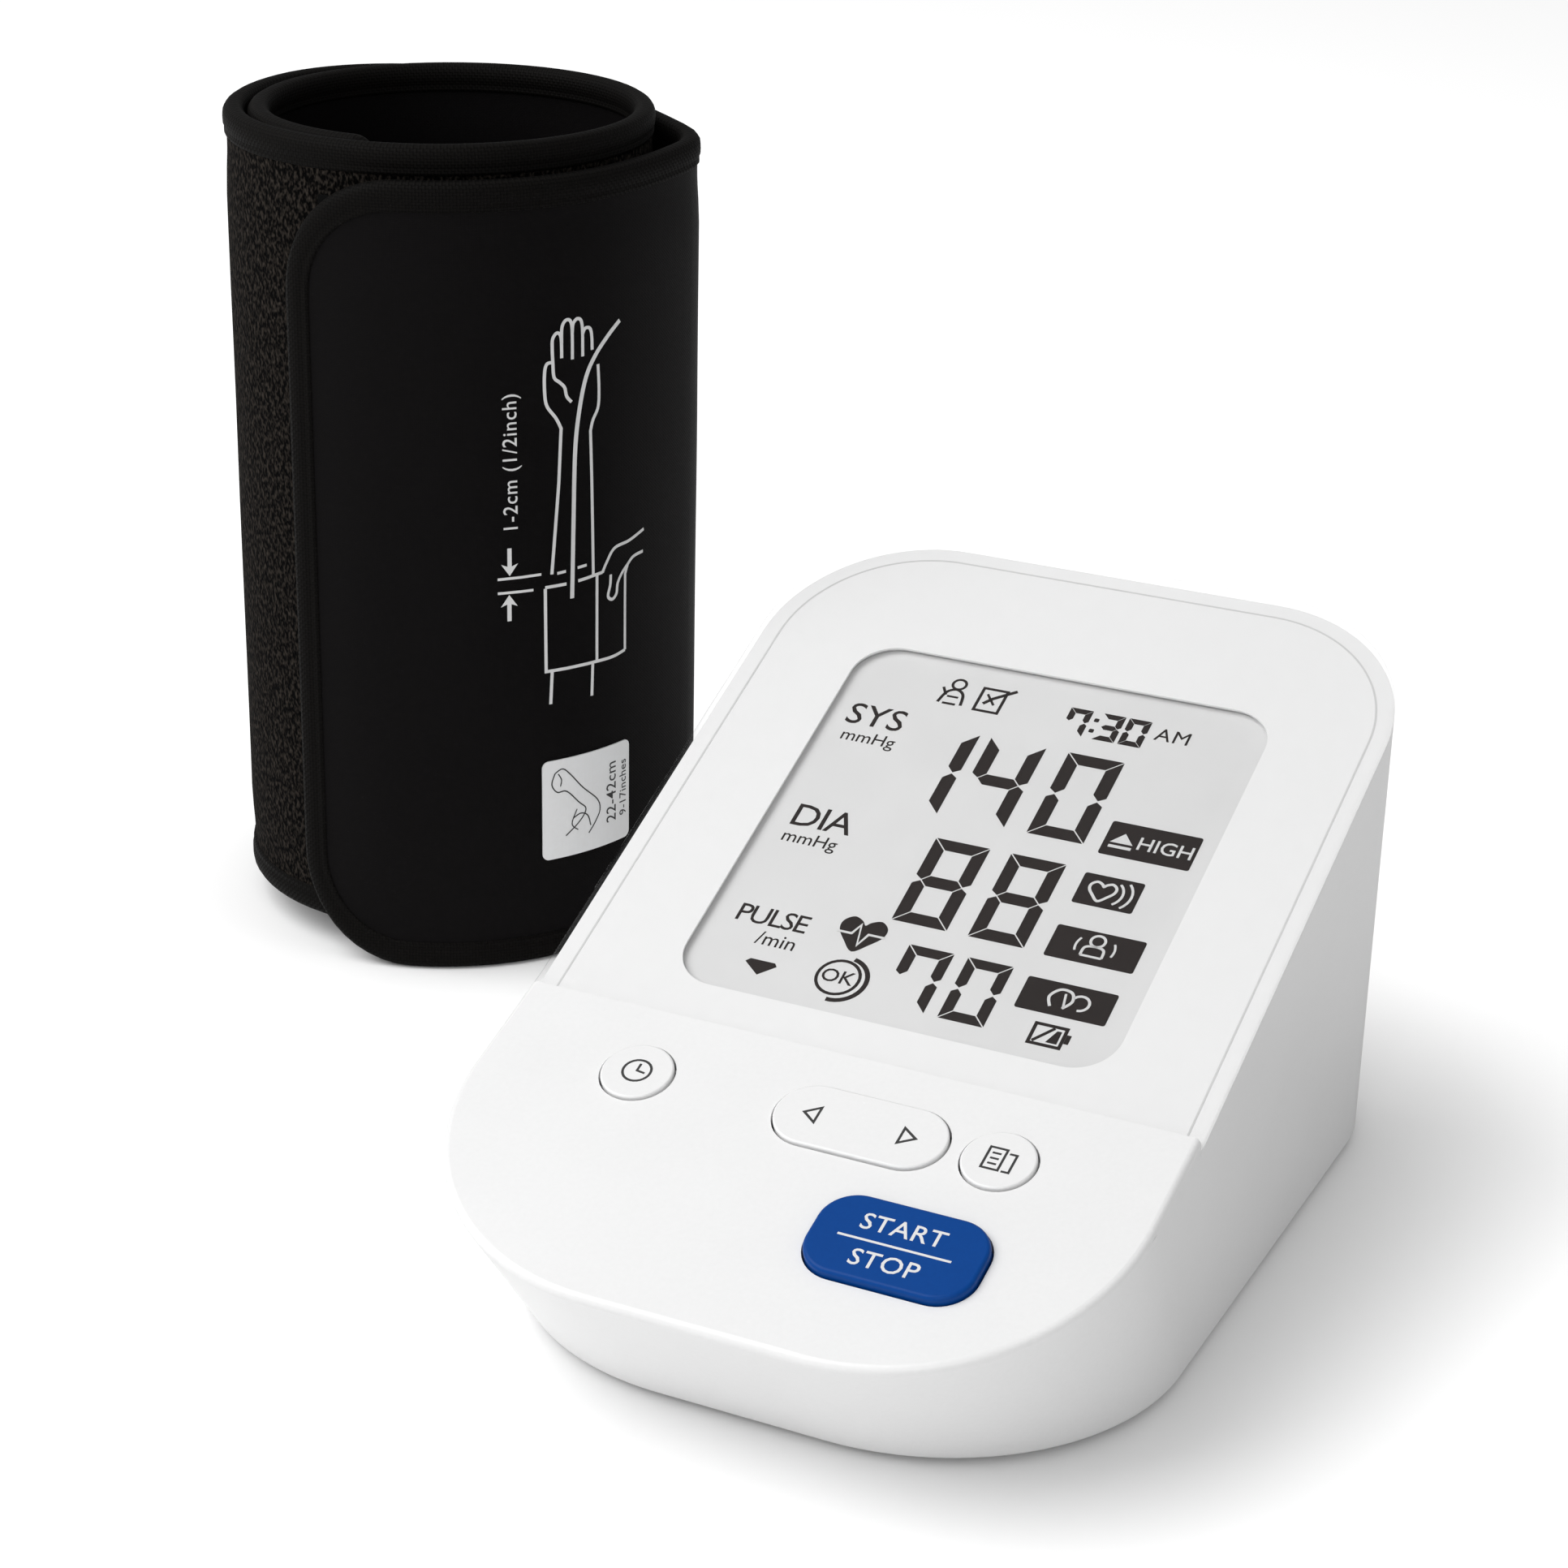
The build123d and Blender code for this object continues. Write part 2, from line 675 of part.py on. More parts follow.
with BuildPart() as board_screws:
    with BuildSketch(display_plane(board_bottom + 1.2)):
        with Locations(*holder_corners):
            Circle(1.6)
    extrude(amount=1.2)
    with BuildSketch(display_plane(board_bottom)):
        with Locations(*holder_corners):
            Circle(board_screw_radius)
    extrude(amount=board_bottom - top_wall + 1.6)
    with BuildSketch(keys_plane(0, key_board_y, key_board_drop + board_thickness + 1.2)):
        with Locations(*board_spots):
            Circle(1.6)
    extrude(amount=1.2)
    with BuildSketch(keys_plane(0, key_board_y, key_board_drop + board_thickness)):
        with Locations(*board_spots):
            Circle(board_screw_radius)
    extrude(amount=board_thickness + 4.0)
save(board_screws, "board_screws")

# ---- pump: motor, head, shaft with its eccentric, and strap ----

with BuildPart() as pump_motor:
    with BuildSketch(side(pump_joint_x, pump_y, pump_z)):
        Circle(motor_radius)
    extrude(amount=motor_length)
    with BuildSketch(side(pump_joint_x, pump_y, pump_z)):
        Circle(shaft_radius + shaft_clearance)
    extrude(amount=12.0, mode=Mode.SUBTRACT)
save(pump_motor, "pump_motor")

outlet_reach = pump_y - line_y - hose_bend
with BuildPart() as pump_head:
    with BuildSketch(side(pump_joint_x - head_length, pump_y, pump_z)):
        Circle(head_radius)
    extrude(amount=head_length)
    with BuildSketch(side(pump_joint_x - head_length + 4, pump_y, pump_z)):
        Circle(9.0)
    extrude(amount=head_length, mode=Mode.SUBTRACT)
    with BuildSketch(side(pump_joint_x - head_length + 2, pump_y, pump_z)):
        Circle(shaft_radius + shaft_clearance)
    extrude(amount=4.0, mode=Mode.SUBTRACT)
    with BuildSketch(upright(outlet_x, line_y + hose_bend + 0.5, outlet_z)):
        Circle(nozzle_radius)
    extrude(amount=outlet_reach - 10.5)
save(pump_head, "pump_head")

with BuildPart() as pump_shaft:
    with BuildSketch(side(pump_joint_x - head_length + 2.3, pump_y, pump_z)):
        Circle(shaft_radius)
    extrude(amount=head_length - 2.3 + 11.0)
    with BuildSketch(side(pump_joint_x - head_length + 8, pump_y + 1.5, pump_z)):
        Circle(5.0)
    extrude(amount=6.0)
save(pump_shaft, "pump_shaft")

strap_x = pump_joint_x + 17
with BuildPart() as pump_strap:
    with BuildSketch(side(strap_x, pump_y, pump_z)):
        Circle(motor_radius + 0.05 + 0.8)
        Circle(motor_radius + 0.05, mode=Mode.SUBTRACT)
        with Locations((0, -motor_radius)):
            Rectangle(4 * motor_radius, 2 * motor_radius, mode=Mode.SUBTRACT)
        with Locations((motor_radius + 1.9, 0.4), (-motor_radius - 1.9, 0.4)):
            Rectangle(3.0, 0.8)
    extrude(amount=8.0)
save(pump_strap, "pump_strap")

# ---- air line: manifold with the sensor, hoses, the cuff's jack ----

manifold_half = 20.0
with BuildPart() as air_manifold:
    with BuildSketch(level(bay_roof, 0, line_y)):
        Rectangle(2 * manifold_half, 8.0)
    extrude(amount=line_z + 4 - bay_roof)
    with BuildSketch(side(-manifold_half - 5, line_y, line_z)):
        Circle(nozzle_radius)
    extrude(amount=2 * manifold_half + 10)
    with BuildSketch(level(line_z, outlet_x, line_y)):
        Circle(nozzle_radius)
    extrude(amount=outlet_z - hose_bend - line_z - 0.5)
save(air_manifold, "air_manifold")

with BuildPart() as pressure_sensor:
    with BuildSketch(level(line_z + 4, 8, line_y)):
        Rectangle(8.0, 8.0)
    extrude(amount=3.0)
    with BuildSketch(level(line_z + 7, 8, line_y)):
        Circle(2.5)
    extrude(amount=1.5)
save(pressure_sensor, "pressure_sensor")

jack_inner = -width / 2 + foot_side_inset + 13.0
with BuildPart() as air_jack:
    with BuildSketch(side(-width / 2 + 1.2, line_y, line_z)):
        Circle(jack_radius)
    extrude(amount=jack_inner + width / 2 - 1.2)
    with BuildSketch(side(-width / 2 + wall + 2.2, line_y, line_z)):
        Circle(jack_radius + 2)
    extrude(amount=1.5)
    with BuildSketch(side(jack_inner, line_y, line_z)):
        Circle(nozzle_radius)
    extrude(amount=5.0)
    with BuildSketch(side(-width / 2 + 1.2, line_y, line_z)):
        Circle(jack_bore)
    extrude(amount=jack_depth, mode=Mode.SUBTRACT)
save(air_jack, "air_jack")


def straight_hose(x_start, x_end):
    """Soft hose along the air line, pushed over a nozzle at each end."""
    with BuildPart() as hose:
        with BuildSketch(side(x_start, line_y, line_z)):
            Circle(hose_radius)
            Circle(nozzle_radius, mode=Mode.SUBTRACT)
        extrude(amount=x_end - x_start)
    return hose


jack_hose = straight_hose(jack_inner, -manifold_half)
save(jack_hose, "jack_hose")
valve_hose = straight_hose(manifold_half, valve_x - 6.0)
save(valve_hose, "valve_hose")

with BuildPart() as pump_hose:
    with BuildLine(side(outlet_x, line_y, 0)) as hose_path:
        FilletPolyline(
            (0, line_z + 4),
            (0, outlet_z),
            (outlet_reach - hose_bend + 4.5 + 0.5, outlet_z),
            radius=hose_bend,
        )
    with BuildSketch(level(line_z + 4, outlet_x, line_y)):
        Circle(hose_radius)
        Circle(nozzle_radius, mode=Mode.SUBTRACT)
    sweep(path=hose_path.line)
save(pump_hose, "pump_hose")

# ---- release valve: frame, coil, plunger, spring and cap ----

valve_floor = base_gap + wall
coil_bottom = valve_floor + 1.0
coil_top = line_z - 5.4
frame_top = coil_top + 1.0
spring_bottom = coil_bottom + 1.0
plunger_bottom = spring_bottom + 4.0
plunger_top = frame_top + 1.0
with BuildPart() as valve_frame:
    with BuildSketch(level(valve_floor, valve_x, line_y)):
        Rectangle(14.0, 14.0)
    extrude(amount=frame_top - valve_floor)
    with BuildSketch(level(coil_bottom, valve_x, line_y)):
        Rectangle(12.8, 20.0)
    extrude(amount=coil_top - coil_bottom, mode=Mode.SUBTRACT)
    with BuildSketch(level(coil_top - 1, valve_x, line_y)):
        Circle(plunger_radius + 0.3)
    extrude(amount=3.0, mode=Mode.SUBTRACT)
save(valve_frame, "valve_frame")

with BuildPart() as valve_coil:
    with BuildSketch(level(coil_bottom, valve_x, line_y)):
        Circle(6.3)
    extrude(amount=coil_top - coil_bottom)
    with BuildSketch(level(coil_bottom + 1.0, valve_x, line_y)):
        Circle(6.3)
        Circle(5.7, mode=Mode.SUBTRACT)
    extrude(amount=coil_top - coil_bottom - 2.0, mode=Mode.SUBTRACT)
    with BuildSketch(level(spring_bottom, valve_x, line_y)):
        Circle(plunger_radius + plunger_clearance)
    extrude(amount=coil_top, mode=Mode.SUBTRACT)
save(valve_coil, "valve_coil")

with BuildPart() as valve_plunger:
    with BuildSketch(level(plunger_bottom, valve_x, line_y)):
        Circle(plunger_radius)
    extrude(amount=plunger_top - plunger_bottom)
save(valve_plunger, "valve_plunger")

with BuildPart() as valve_spring:
    with BuildSketch(level(spring_bottom, valve_x, line_y)):
        Circle(2.2)
        Circle(1.5, mode=Mode.SUBTRACT)
    extrude(amount=plunger_bottom - spring_bottom)
save(valve_spring, "valve_spring")

with BuildPart() as valve_cap:
    with BuildSketch(level(frame_top, valve_x, line_y)):
        Circle(6.0)
    extrude(amount=8.0)
    with BuildSketch(level(frame_top - 1, valve_x, line_y)):
        Circle(4.2)
    extrude(amount=7.5, mode=Mode.SUBTRACT)
    with BuildSketch(level(plunger_top + 0.3, valve_x, line_y)):
        Circle(1.6)
    extrude(amount=frame_top + 7 - plunger_top)
    with BuildSketch(side(valve_x - 5.5, line_y, line_z)):
        Circle(nozzle_radius)
    extrude(amount=-6.5)
save(valve_cap, "valve_cap")

# ---- mains jack ----

dc_depth = 12.0
dc_mouth = depth / 2 - foot_rear_inset - 0.2
with BuildPart() as dc_jack:
    with BuildSketch(upright(dc_x, dc_mouth - dc_depth, dc_z)):
        Rectangle(9.0, 11.0)
    extrude(amount=dc_depth - 3.0)
    with BuildSketch(upright(dc_x, dc_mouth - dc_depth, dc_z)):
        Circle(dc_bore + 0.75)
    extrude(amount=dc_depth)
    with BuildSketch(upright(dc_x, dc_mouth - dc_depth + 2.0, dc_z)):
        Circle(dc_bore)
        Circle(0.85, mode=Mode.SUBTRACT)
    extrude(amount=dc_depth, mode=Mode.SUBTRACT)
save(dc_jack, "dc_jack")

# ---- case screws and rubber feet ----

head_top = base_gap + 2.4
with BuildPart() as case_screws:
    with BuildSketch(level(head_top - 1.8)):
        with Locations(*screws):
            Circle(screw_head)
    extrude(amount=1.8)
    with BuildSketch(level(head_top - 1.8)):
        with Locations(*screws):
            Circle(screw_radius)
    extrude(amount=11.0)
    with BuildSketch(level(head_top - 1.8)):
        with Locations(*screws):
            Rectangle(3.0, 0.6)
            Rectangle(0.6, 3.0)
    extrude(amount=0.9, mode=Mode.SUBTRACT)
save(case_screws, "case_screws")

with BuildPart() as rubber_feet:
    with BuildSketch(level(0)):
        with Locations(*feet):
            Circle(foot_radius)
    extrude(amount=base_gap + foot_recess)
save(rubber_feet, "rubber_feet")

# ---- the cuff: one long strip, rolled from its flap's free end to its inner end ----
# Each pair is a stretch's radius and its sweep, anticlockwise seen from above.

ring_start = 4
roll = [(roll_radius + roll_pitch - 0.2, 88.0), (ease_radius + 4 * roll_pitch, 15.0)]
roll += [(16.0, 50.0), (120.0, 8.0)]
roll += [(roll_radius + roll_pitch / 2, 150.0), (roll_radius, 180.0)]
roll += [(roll_radius - roll_pitch / 2, 180.0), (roll_radius - roll_pitch, 70.0)]
roll_sweep = sum(sweep for radius, sweep in roll)
flap_heading = 120.0 - sum(sweep for radius, sweep in roll[:ring_start])


def roll_arcs(first, last):
    """Centre, radius, first angle and sweep of each arc between two turns from the free end."""
    arcs = []
    x, y, heading, turned = 0.0, 0.0, flap_heading, 0.0
    centres = []
    for radius, sweep in roll:
        centre_x = x - radius * sin(radians(heading))
        centre_y = y + radius * cos(radians(heading))
        centres.append((centre_x, centre_y))
        begin = max(first - turned, 0.0)
        end = min(last - turned, sweep)
        if end > begin:
            arcs.append((centre_x, centre_y, radius, heading - 90 + begin, end - begin))
        heading += sweep
        turned += sweep
        x = centre_x + radius * sin(radians(heading))
        y = centre_y - radius * cos(radians(heading))
    shift_x = centres[ring_start][0] - roll_pitch / 2
    shift_y = centres[ring_start][1]
    return [(cx - shift_x, cy - shift_y, r, a, s) for cx, cy, r, a, s in arcs]


def strip(inner, outer, first=0.0, last=roll_sweep):
    """Layer of the rolled strip between two offsets from its middle, as a closed face."""
    arcs = roll_arcs(first, last)
    with BuildLine() as edge:
        inside = [CenterArc((cx, cy), r + inner, a, s) for cx, cy, r, a, s in arcs]
        outside = [CenterArc((cx, cy), r + outer, a, s) for cx, cy, r, a, s in arcs]
        Line(inside[0] @ 0, outside[0] @ 0)
        Line(inside[-1] @ 1, outside[-1] @ 1)
    make_face(edge.edges())


half_strip = strip_thickness / 2
flap_seam = 200.0
cloth_height = cuff_height - 2 * binding_width
bladder_outer = half_strip - outer_cloth - stay_thickness
bladder_inner = -half_strip + inner_cloth

with BuildPart() as cuff_flap_cloth:
    with BuildSketch(roll_level(binding_width)):
        strip(half_strip - outer_cloth, half_strip, 0, flap_seam)
    extrude(amount=cloth_height)
save(cuff_flap_cloth, "cuff_flap_cloth")

with BuildPart() as cuff_loop_cloth:
    with BuildSketch(roll_level(binding_width)):
        strip(half_strip - outer_cloth, half_strip, flap_seam)
    extrude(amount=cloth_height)
save(cuff_loop_cloth, "cuff_loop_cloth")

with BuildPart() as cuff_inner_cloth:
    with BuildSketch(roll_level(binding_width)):
        strip(-half_strip, -half_strip + inner_cloth)
    extrude(amount=cloth_height)
save(cuff_inner_cloth, "cuff_inner_cloth")

with BuildPart() as cuff_stay:
    with BuildSketch(roll_level(binding_width + 3)):
        strip(bladder_outer, half_strip - outer_cloth, 330, roll_sweep - 12)
    extrude(amount=cloth_height - 6)
save(cuff_stay, "cuff_stay")

with BuildPart() as cuff_bladder:
    with BuildSketch(roll_level(binding_width + 3)):
        strip(bladder_inner, bladder_outer, 340, roll_sweep - 14)
    extrude(amount=cloth_height - 6)
save(cuff_bladder, "cuff_bladder")

with BuildPart() as cuff_binding:
    with BuildSketch(roll_level(0)):
        strip(-half_strip - binding_proud, half_strip + binding_proud)
    extrude(amount=binding_width)
    with BuildSketch(roll_level(cuff_height - binding_width)):
        strip(-half_strip - binding_proud, half_strip + binding_proud)
    extrude(amount=binding_width)
save(cuff_binding, "cuff_binding")

hook_thickness = 0.5
with BuildPart() as cuff_hook_patch:
    with BuildSketch(roll_level(binding_width + 4)):
        strip(-half_strip - hook_thickness, -half_strip, 8, 80)
    extrude(amount=cloth_height - 8)
save(cuff_hook_patch, "cuff_hook_patch")

nozzle_spot = 245.0
cuff_pin_radius = 2.0
with BuildPart() as cuff_nozzle:
    nozzle_arc = roll_arcs(nozzle_spot, nozzle_spot + 1)[0]
    spot = radians(nozzle_arc[3])
    reach = nozzle_arc[2] + half_strip
    seat_x = nozzle_arc[0] + reach * cos(spot)
    seat_y = nozzle_arc[1] + reach * sin(spot)
    outward = roll_level(100.0)
    seat = outward.from_local_coords(Vector(seat_x, seat_y, 0))
    normal = outward.x_dir * cos(spot) + outward.y_dir * sin(spot)
    with BuildSketch(Plane(seat + normal * 0.1, x_dir=(0, 0, 1), z_dir=normal)):
        Circle(7.0)
    extrude(amount=1.2)
    with BuildSketch(Plane(seat + normal * 0.1, x_dir=(0, 0, 1), z_dir=normal)):
        Circle(3.6)
    extrude(amount=7.0)
    with BuildSketch(Plane(seat + normal * 4.0)):
        Circle(cuff_pin_radius + 0.8)
    extrude(amount=4.6)
    with BuildSketch(Plane(seat + normal * 4.0)):
        Circle(cuff_pin_radius)
    extrude(amount=14.0)
save(cuff_nozzle, "cuff_nozzle")
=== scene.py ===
import bpy
import bmesh
import json
from math import cos, pi, radians, sin, sqrt
from mathutils import Matrix, Vector, noise


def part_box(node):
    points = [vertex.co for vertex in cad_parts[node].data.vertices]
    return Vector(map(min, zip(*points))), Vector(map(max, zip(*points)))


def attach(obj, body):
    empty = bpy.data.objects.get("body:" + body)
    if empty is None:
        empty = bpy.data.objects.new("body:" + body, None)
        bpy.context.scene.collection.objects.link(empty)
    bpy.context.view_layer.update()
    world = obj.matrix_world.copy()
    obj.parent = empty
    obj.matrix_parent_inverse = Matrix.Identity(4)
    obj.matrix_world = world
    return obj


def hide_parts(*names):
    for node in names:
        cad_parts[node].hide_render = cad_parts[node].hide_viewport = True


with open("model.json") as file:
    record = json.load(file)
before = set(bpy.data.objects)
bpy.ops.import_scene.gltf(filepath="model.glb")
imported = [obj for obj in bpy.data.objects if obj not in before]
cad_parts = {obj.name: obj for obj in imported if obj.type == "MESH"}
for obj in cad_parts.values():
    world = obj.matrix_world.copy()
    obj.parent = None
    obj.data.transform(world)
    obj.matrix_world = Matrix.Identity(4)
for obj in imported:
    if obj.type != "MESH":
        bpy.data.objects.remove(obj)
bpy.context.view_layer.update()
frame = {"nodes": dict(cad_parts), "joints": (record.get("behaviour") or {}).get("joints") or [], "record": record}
nodes = frame["nodes"]
joints = {joint["name"]: joint for joint in frame["joints"]}
scene = bpy.context.scene

# ---- camera ----
# Looks down on the unit from its front right, from about 0.6 m away, so that the keys,
# the display and the right wall show, with the cuff behind on the left.

view_azimuth = radians(25.51)
view_elevation = radians(22.62)
view_roll = radians(1.2)
view_distance = 0.6054
view_target = Vector((-0.0014, 0.0524, 0.035))

backward = Vector((
    sin(view_azimuth) * cos(view_elevation),
    -cos(view_azimuth) * cos(view_elevation),
    sin(view_elevation),
))
rightward = Vector((cos(view_azimuth), sin(view_azimuth), 0))
upward = backward.cross(rightward)
camera_x = rightward * cos(view_roll) + upward * sin(view_roll)
camera_y = upward * cos(view_roll) - rightward * sin(view_roll)

camera_data = bpy.data.cameras.new("camera")
camera_data.lens = 80.2
camera_data.sensor_width = 36
camera_data.clip_start = 0.01
camera = bpy.data.objects.new("camera", camera_data)
scene.collection.objects.link(camera)
turned = Matrix((camera_x, camera_y, backward)).transposed().to_4x4()
camera.matrix_world = Matrix.Translation(view_target + backward * view_distance) @ turned
scene.camera = camera

# ---- floor, backdrop and lights ----
# A pale seamless floor that fades to plain white behind the object, one large soft light
# high on the left, a weaker one in front, and an even white surround.

scene.view_settings.view_transform = "Standard"


def new_material(name):
    """Empty node material and its tree."""
    material = bpy.data.materials.new(name)
    material.use_nodes = True
    material.node_tree.nodes.clear()
    return material, material.node_tree


def add_node(tree, kind, settings=None, **inputs):
    """Node with its settings and with values or links for its inputs."""
    node = tree.nodes.new(kind)
    for key, value in (settings or {}).items():
        setattr(node, key, value)
    for key, value in inputs.items():
        socket = node.inputs[key.replace("_", " ")]
        if isinstance(value, bpy.types.NodeSocket):
            tree.links.new(value, socket)
        else:
            socket.default_value = value
    return node


def math_node(tree, operation, first, second=0.0):
    """Math node on two values or links; returns its output."""
    node = tree.nodes.new("ShaderNodeMath")
    node.operation = operation
    for socket, value in zip(node.inputs, (first, second)):
        if isinstance(value, bpy.types.NodeSocket):
            tree.links.new(value, socket)
        else:
            socket.default_value = value
    return node.outputs[0]


floor_mesh = bpy.data.meshes.new("floor")
floor_build = bmesh.new()
bmesh.ops.create_grid(floor_build, x_segments=1, y_segments=1, size=4.0)
floor_build.to_mesh(floor_mesh)
floor_build.free()
floor = bpy.data.objects.new("floor", floor_mesh)
scene.collection.objects.link(floor)

floor_material, tree = new_material("studio_floor")
floor_grain = add_node(tree, "ShaderNodeTexNoise", Scale=3.0, Detail=2.0)
grain_share = floor_grain.outputs["Fac"]
floor_tint = add_node(tree, "ShaderNodeMix", {"data_type": "RGBA"}, Factor=grain_share)
floor_tint.inputs["A"].default_value = (0.93, 0.93, 0.93, 1)
floor_tint.inputs["B"].default_value = (0.95, 0.95, 0.95, 1)
floor_paint = add_node(tree, "ShaderNodeBsdfDiffuse", Color=floor_tint.outputs["Result"])
# The camera sees the floor a little brighter than it lights things, least where it is hidden: the extra glow fades
# out next to the object, which paints a contact shadow round its base.
floor_seen = add_node(tree, "ShaderNodeLightPath").outputs["Is Camera Ray"]
painted_shadow_ao = add_node(tree, "ShaderNodeAmbientOcclusion", {"samples": 12}, Distance=0.05)
painted_shadow_falloff = math_node(tree, "POWER", painted_shadow_ao.outputs["AO"], 2.4)
seen_share = math_node(tree, "MULTIPLY", floor_seen, painted_shadow_falloff)
floor_fill = add_node(tree, "ShaderNodeMapRange", Value=seen_share, To_Min=0.0, To_Max=0.4)
fill_strength = floor_fill.outputs["Result"]
floor_glow = add_node(tree, "ShaderNodeEmission", Color=(1, 1, 1, 1), Strength=fill_strength)
floor_sum = add_node(tree, "ShaderNodeAddShader")
tree.links.new(floor_paint.outputs[0], floor_sum.inputs[0])
tree.links.new(floor_glow.outputs[0], floor_sum.inputs[1])
add_node(tree, "ShaderNodeOutputMaterial", Surface=floor_sum.outputs[0])
floor_mesh.materials.append(floor_material)

world = bpy.data.worlds.new("surround")
scene.world = world
world.use_nodes = True
tree = world.node_tree
tree.nodes.clear()
surround = add_node(tree, "ShaderNodeBackground", Color=(1, 1, 1, 1), Strength=0.36)
plain_white = add_node(tree, "ShaderNodeBackground", Color=(1, 1, 1, 1), Strength=1.0)
light_path = add_node(tree, "ShaderNodeLightPath")
seen = add_node(tree, "ShaderNodeMixShader", Fac=light_path.outputs["Is Camera Ray"])
tree.links.new(surround.outputs[0], seen.inputs[1])
tree.links.new(plain_white.outputs[0], seen.inputs[2])
add_node(tree, "ShaderNodeOutputWorld", Surface=seen.outputs[0])

lit_point = Vector((0, 0, 0.03))


def softbox(name, place, size, power):
    """Square soft light that faces the unit."""
    light = bpy.data.lights.new(name, "AREA")
    light.size = size
    light.energy = power
    lamp = bpy.data.objects.new(name, light)
    scene.collection.objects.link(lamp)
    lamp.location = place
    lamp.rotation_euler = (lit_point - Vector(place)).to_track_quat("-Z", "Y").to_euler()


softbox("key_light", (-0.75, -0.55, 1.2), size=1.35, power=19.5)
softbox("front_light", (0.55, -1.25, 0.65), size=0.8, power=3.2)

# ---- masks that materials share ----
# Node groups that give a mottle and a woven cloth as plain values, for any material to
# turn into colour, roughness and bump.


def value_group(name, inputs):
    """Node group with number inputs, a vector input and one value output."""
    group = bpy.data.node_groups.new(name, "ShaderNodeTree")
    group.interface.new_socket("Vector", in_out="INPUT", socket_type="NodeSocketVector")
    for label, default in inputs.items():
        socket = group.interface.new_socket(label, in_out="INPUT", socket_type="NodeSocketFloat")
        socket.default_value = default
    group.interface.new_socket("Value", in_out="OUTPUT", socket_type="NodeSocketFloat")
    entry = group.nodes.new("NodeGroupInput")
    leave = group.nodes.new("NodeGroupOutput")
    return group, entry, leave


mottle_group, entry, leave = value_group("mottle", {"Coarse": 60.0, "Fine": 900.0})
coarse = add_node(mottle_group, "ShaderNodeTexNoise", Vector=entry.outputs["Vector"], Detail=3.0)
fine = add_node(mottle_group, "ShaderNodeTexNoise", Vector=entry.outputs["Vector"], Detail=2.0)
mottle_group.links.new(entry.outputs["Coarse"], coarse.inputs["Scale"])
mottle_group.links.new(entry.outputs["Fine"], fine.inputs["Scale"])
blended = math_node(mottle_group, "ADD", coarse.outputs["Fac"], fine.outputs["Fac"])
mottle_group.links.new(math_node(mottle_group, "MULTIPLY", blended, 0.5), leave.inputs["Value"])

weave_group, entry, leave = value_group("weave", {"Threads": 2500.0})
split = add_node(weave_group, "ShaderNodeSeparateXYZ", Vector=entry.outputs["Vector"])
threads = entry.outputs["Threads"]
phases = [math_node(weave_group, "MULTIPLY", split.outputs[axis], threads) for axis in "XY"]
waves = []
for phase in phases:
    sine = math_node(weave_group, "SINE", math_node(weave_group, "MULTIPLY", phase, pi))
    waves.append(math_node(weave_group, "ABSOLUTE", sine))
cells = [math_node(weave_group, "FLOOR", phase) for phase in phases]
cell = math_node(weave_group, "ADD", *cells)
over = math_node(weave_group, "ABSOLUTE", math_node(weave_group, "MODULO", cell, 2.0))
on_top = math_node(weave_group, "MULTIPLY", waves[0], over)
below = math_node(weave_group, "MULTIPLY", waves[1], math_node(weave_group, "SUBTRACT", 1.0, over))
weave_group.links.new(math_node(weave_group, "ADD", on_top, below), leave.inputs["Value"])


def grouped(tree, group, vector, **values):
    """Uses a value group in a material; returns its output."""
    node = tree.nodes.new("ShaderNodeGroup")
    node.node_tree = group
    tree.links.new(vector, node.inputs["Vector"])
    for key, value in values.items():
        node.inputs[key].default_value = value
    return node.outputs[0]


def ramp(tree, value, dark, light, low=0.3, high=0.7):
    """Colour that goes from dark to light as a value goes from low to high."""
    node = add_node(tree, "ShaderNodeValToRGB", Fac=value)
    first, last = node.color_ramp.elements
    first.position, first.color = low, (*dark, 1)
    last.position, last.color = high, (*light, 1)
    return node.outputs["Color"]


def rough(tree, value, low, high):
    """Roughness that goes from low to high with a value between 0 and 1."""
    node = add_node(tree, "ShaderNodeMapRange", Value=value, To_Min=low, To_Max=high)
    return node.outputs["Result"]


def bumped(tree, height, distance, strength=1.0):
    """Normal that a height raises by a distance."""
    node = add_node(tree, "ShaderNodeBump", Height=height, Distance=distance, Strength=strength)
    return node.outputs["Normal"]


def solid_finish(name, dark, light, low_rough, high_rough, grain=1500.0, depth=0.00002, **shader):
    """Moulded, coated or metal surface: mottled colour, uneven gloss and a fine grain."""
    material, tree = new_material(name)
    place = add_node(tree, "ShaderNodeTexCoord").outputs["Object"]
    mottle = grouped(tree, mottle_group, place, Coarse=grain / 25, Fine=grain)
    surface = add_node(
        tree,
        "ShaderNodeBsdfPrincipled",
        Base_Color=ramp(tree, mottle, dark, light),
        Roughness=rough(tree, mottle, low_rough, high_rough),
        Normal=bumped(tree, mottle, depth, 0.5),
        **shader,
    )
    add_node(tree, "ShaderNodeOutputMaterial", Surface=surface.outputs["BSDF"])
    return material


def grey(value):
    """Neutral colour."""
    return (value, value, value)


# ---- hard materials ----
# White moulded shells and keys, the printed border, the blue key, and what is inside:
# boards, black plastic, steel, plated contacts, copper, cell jackets, rubber and silicone.

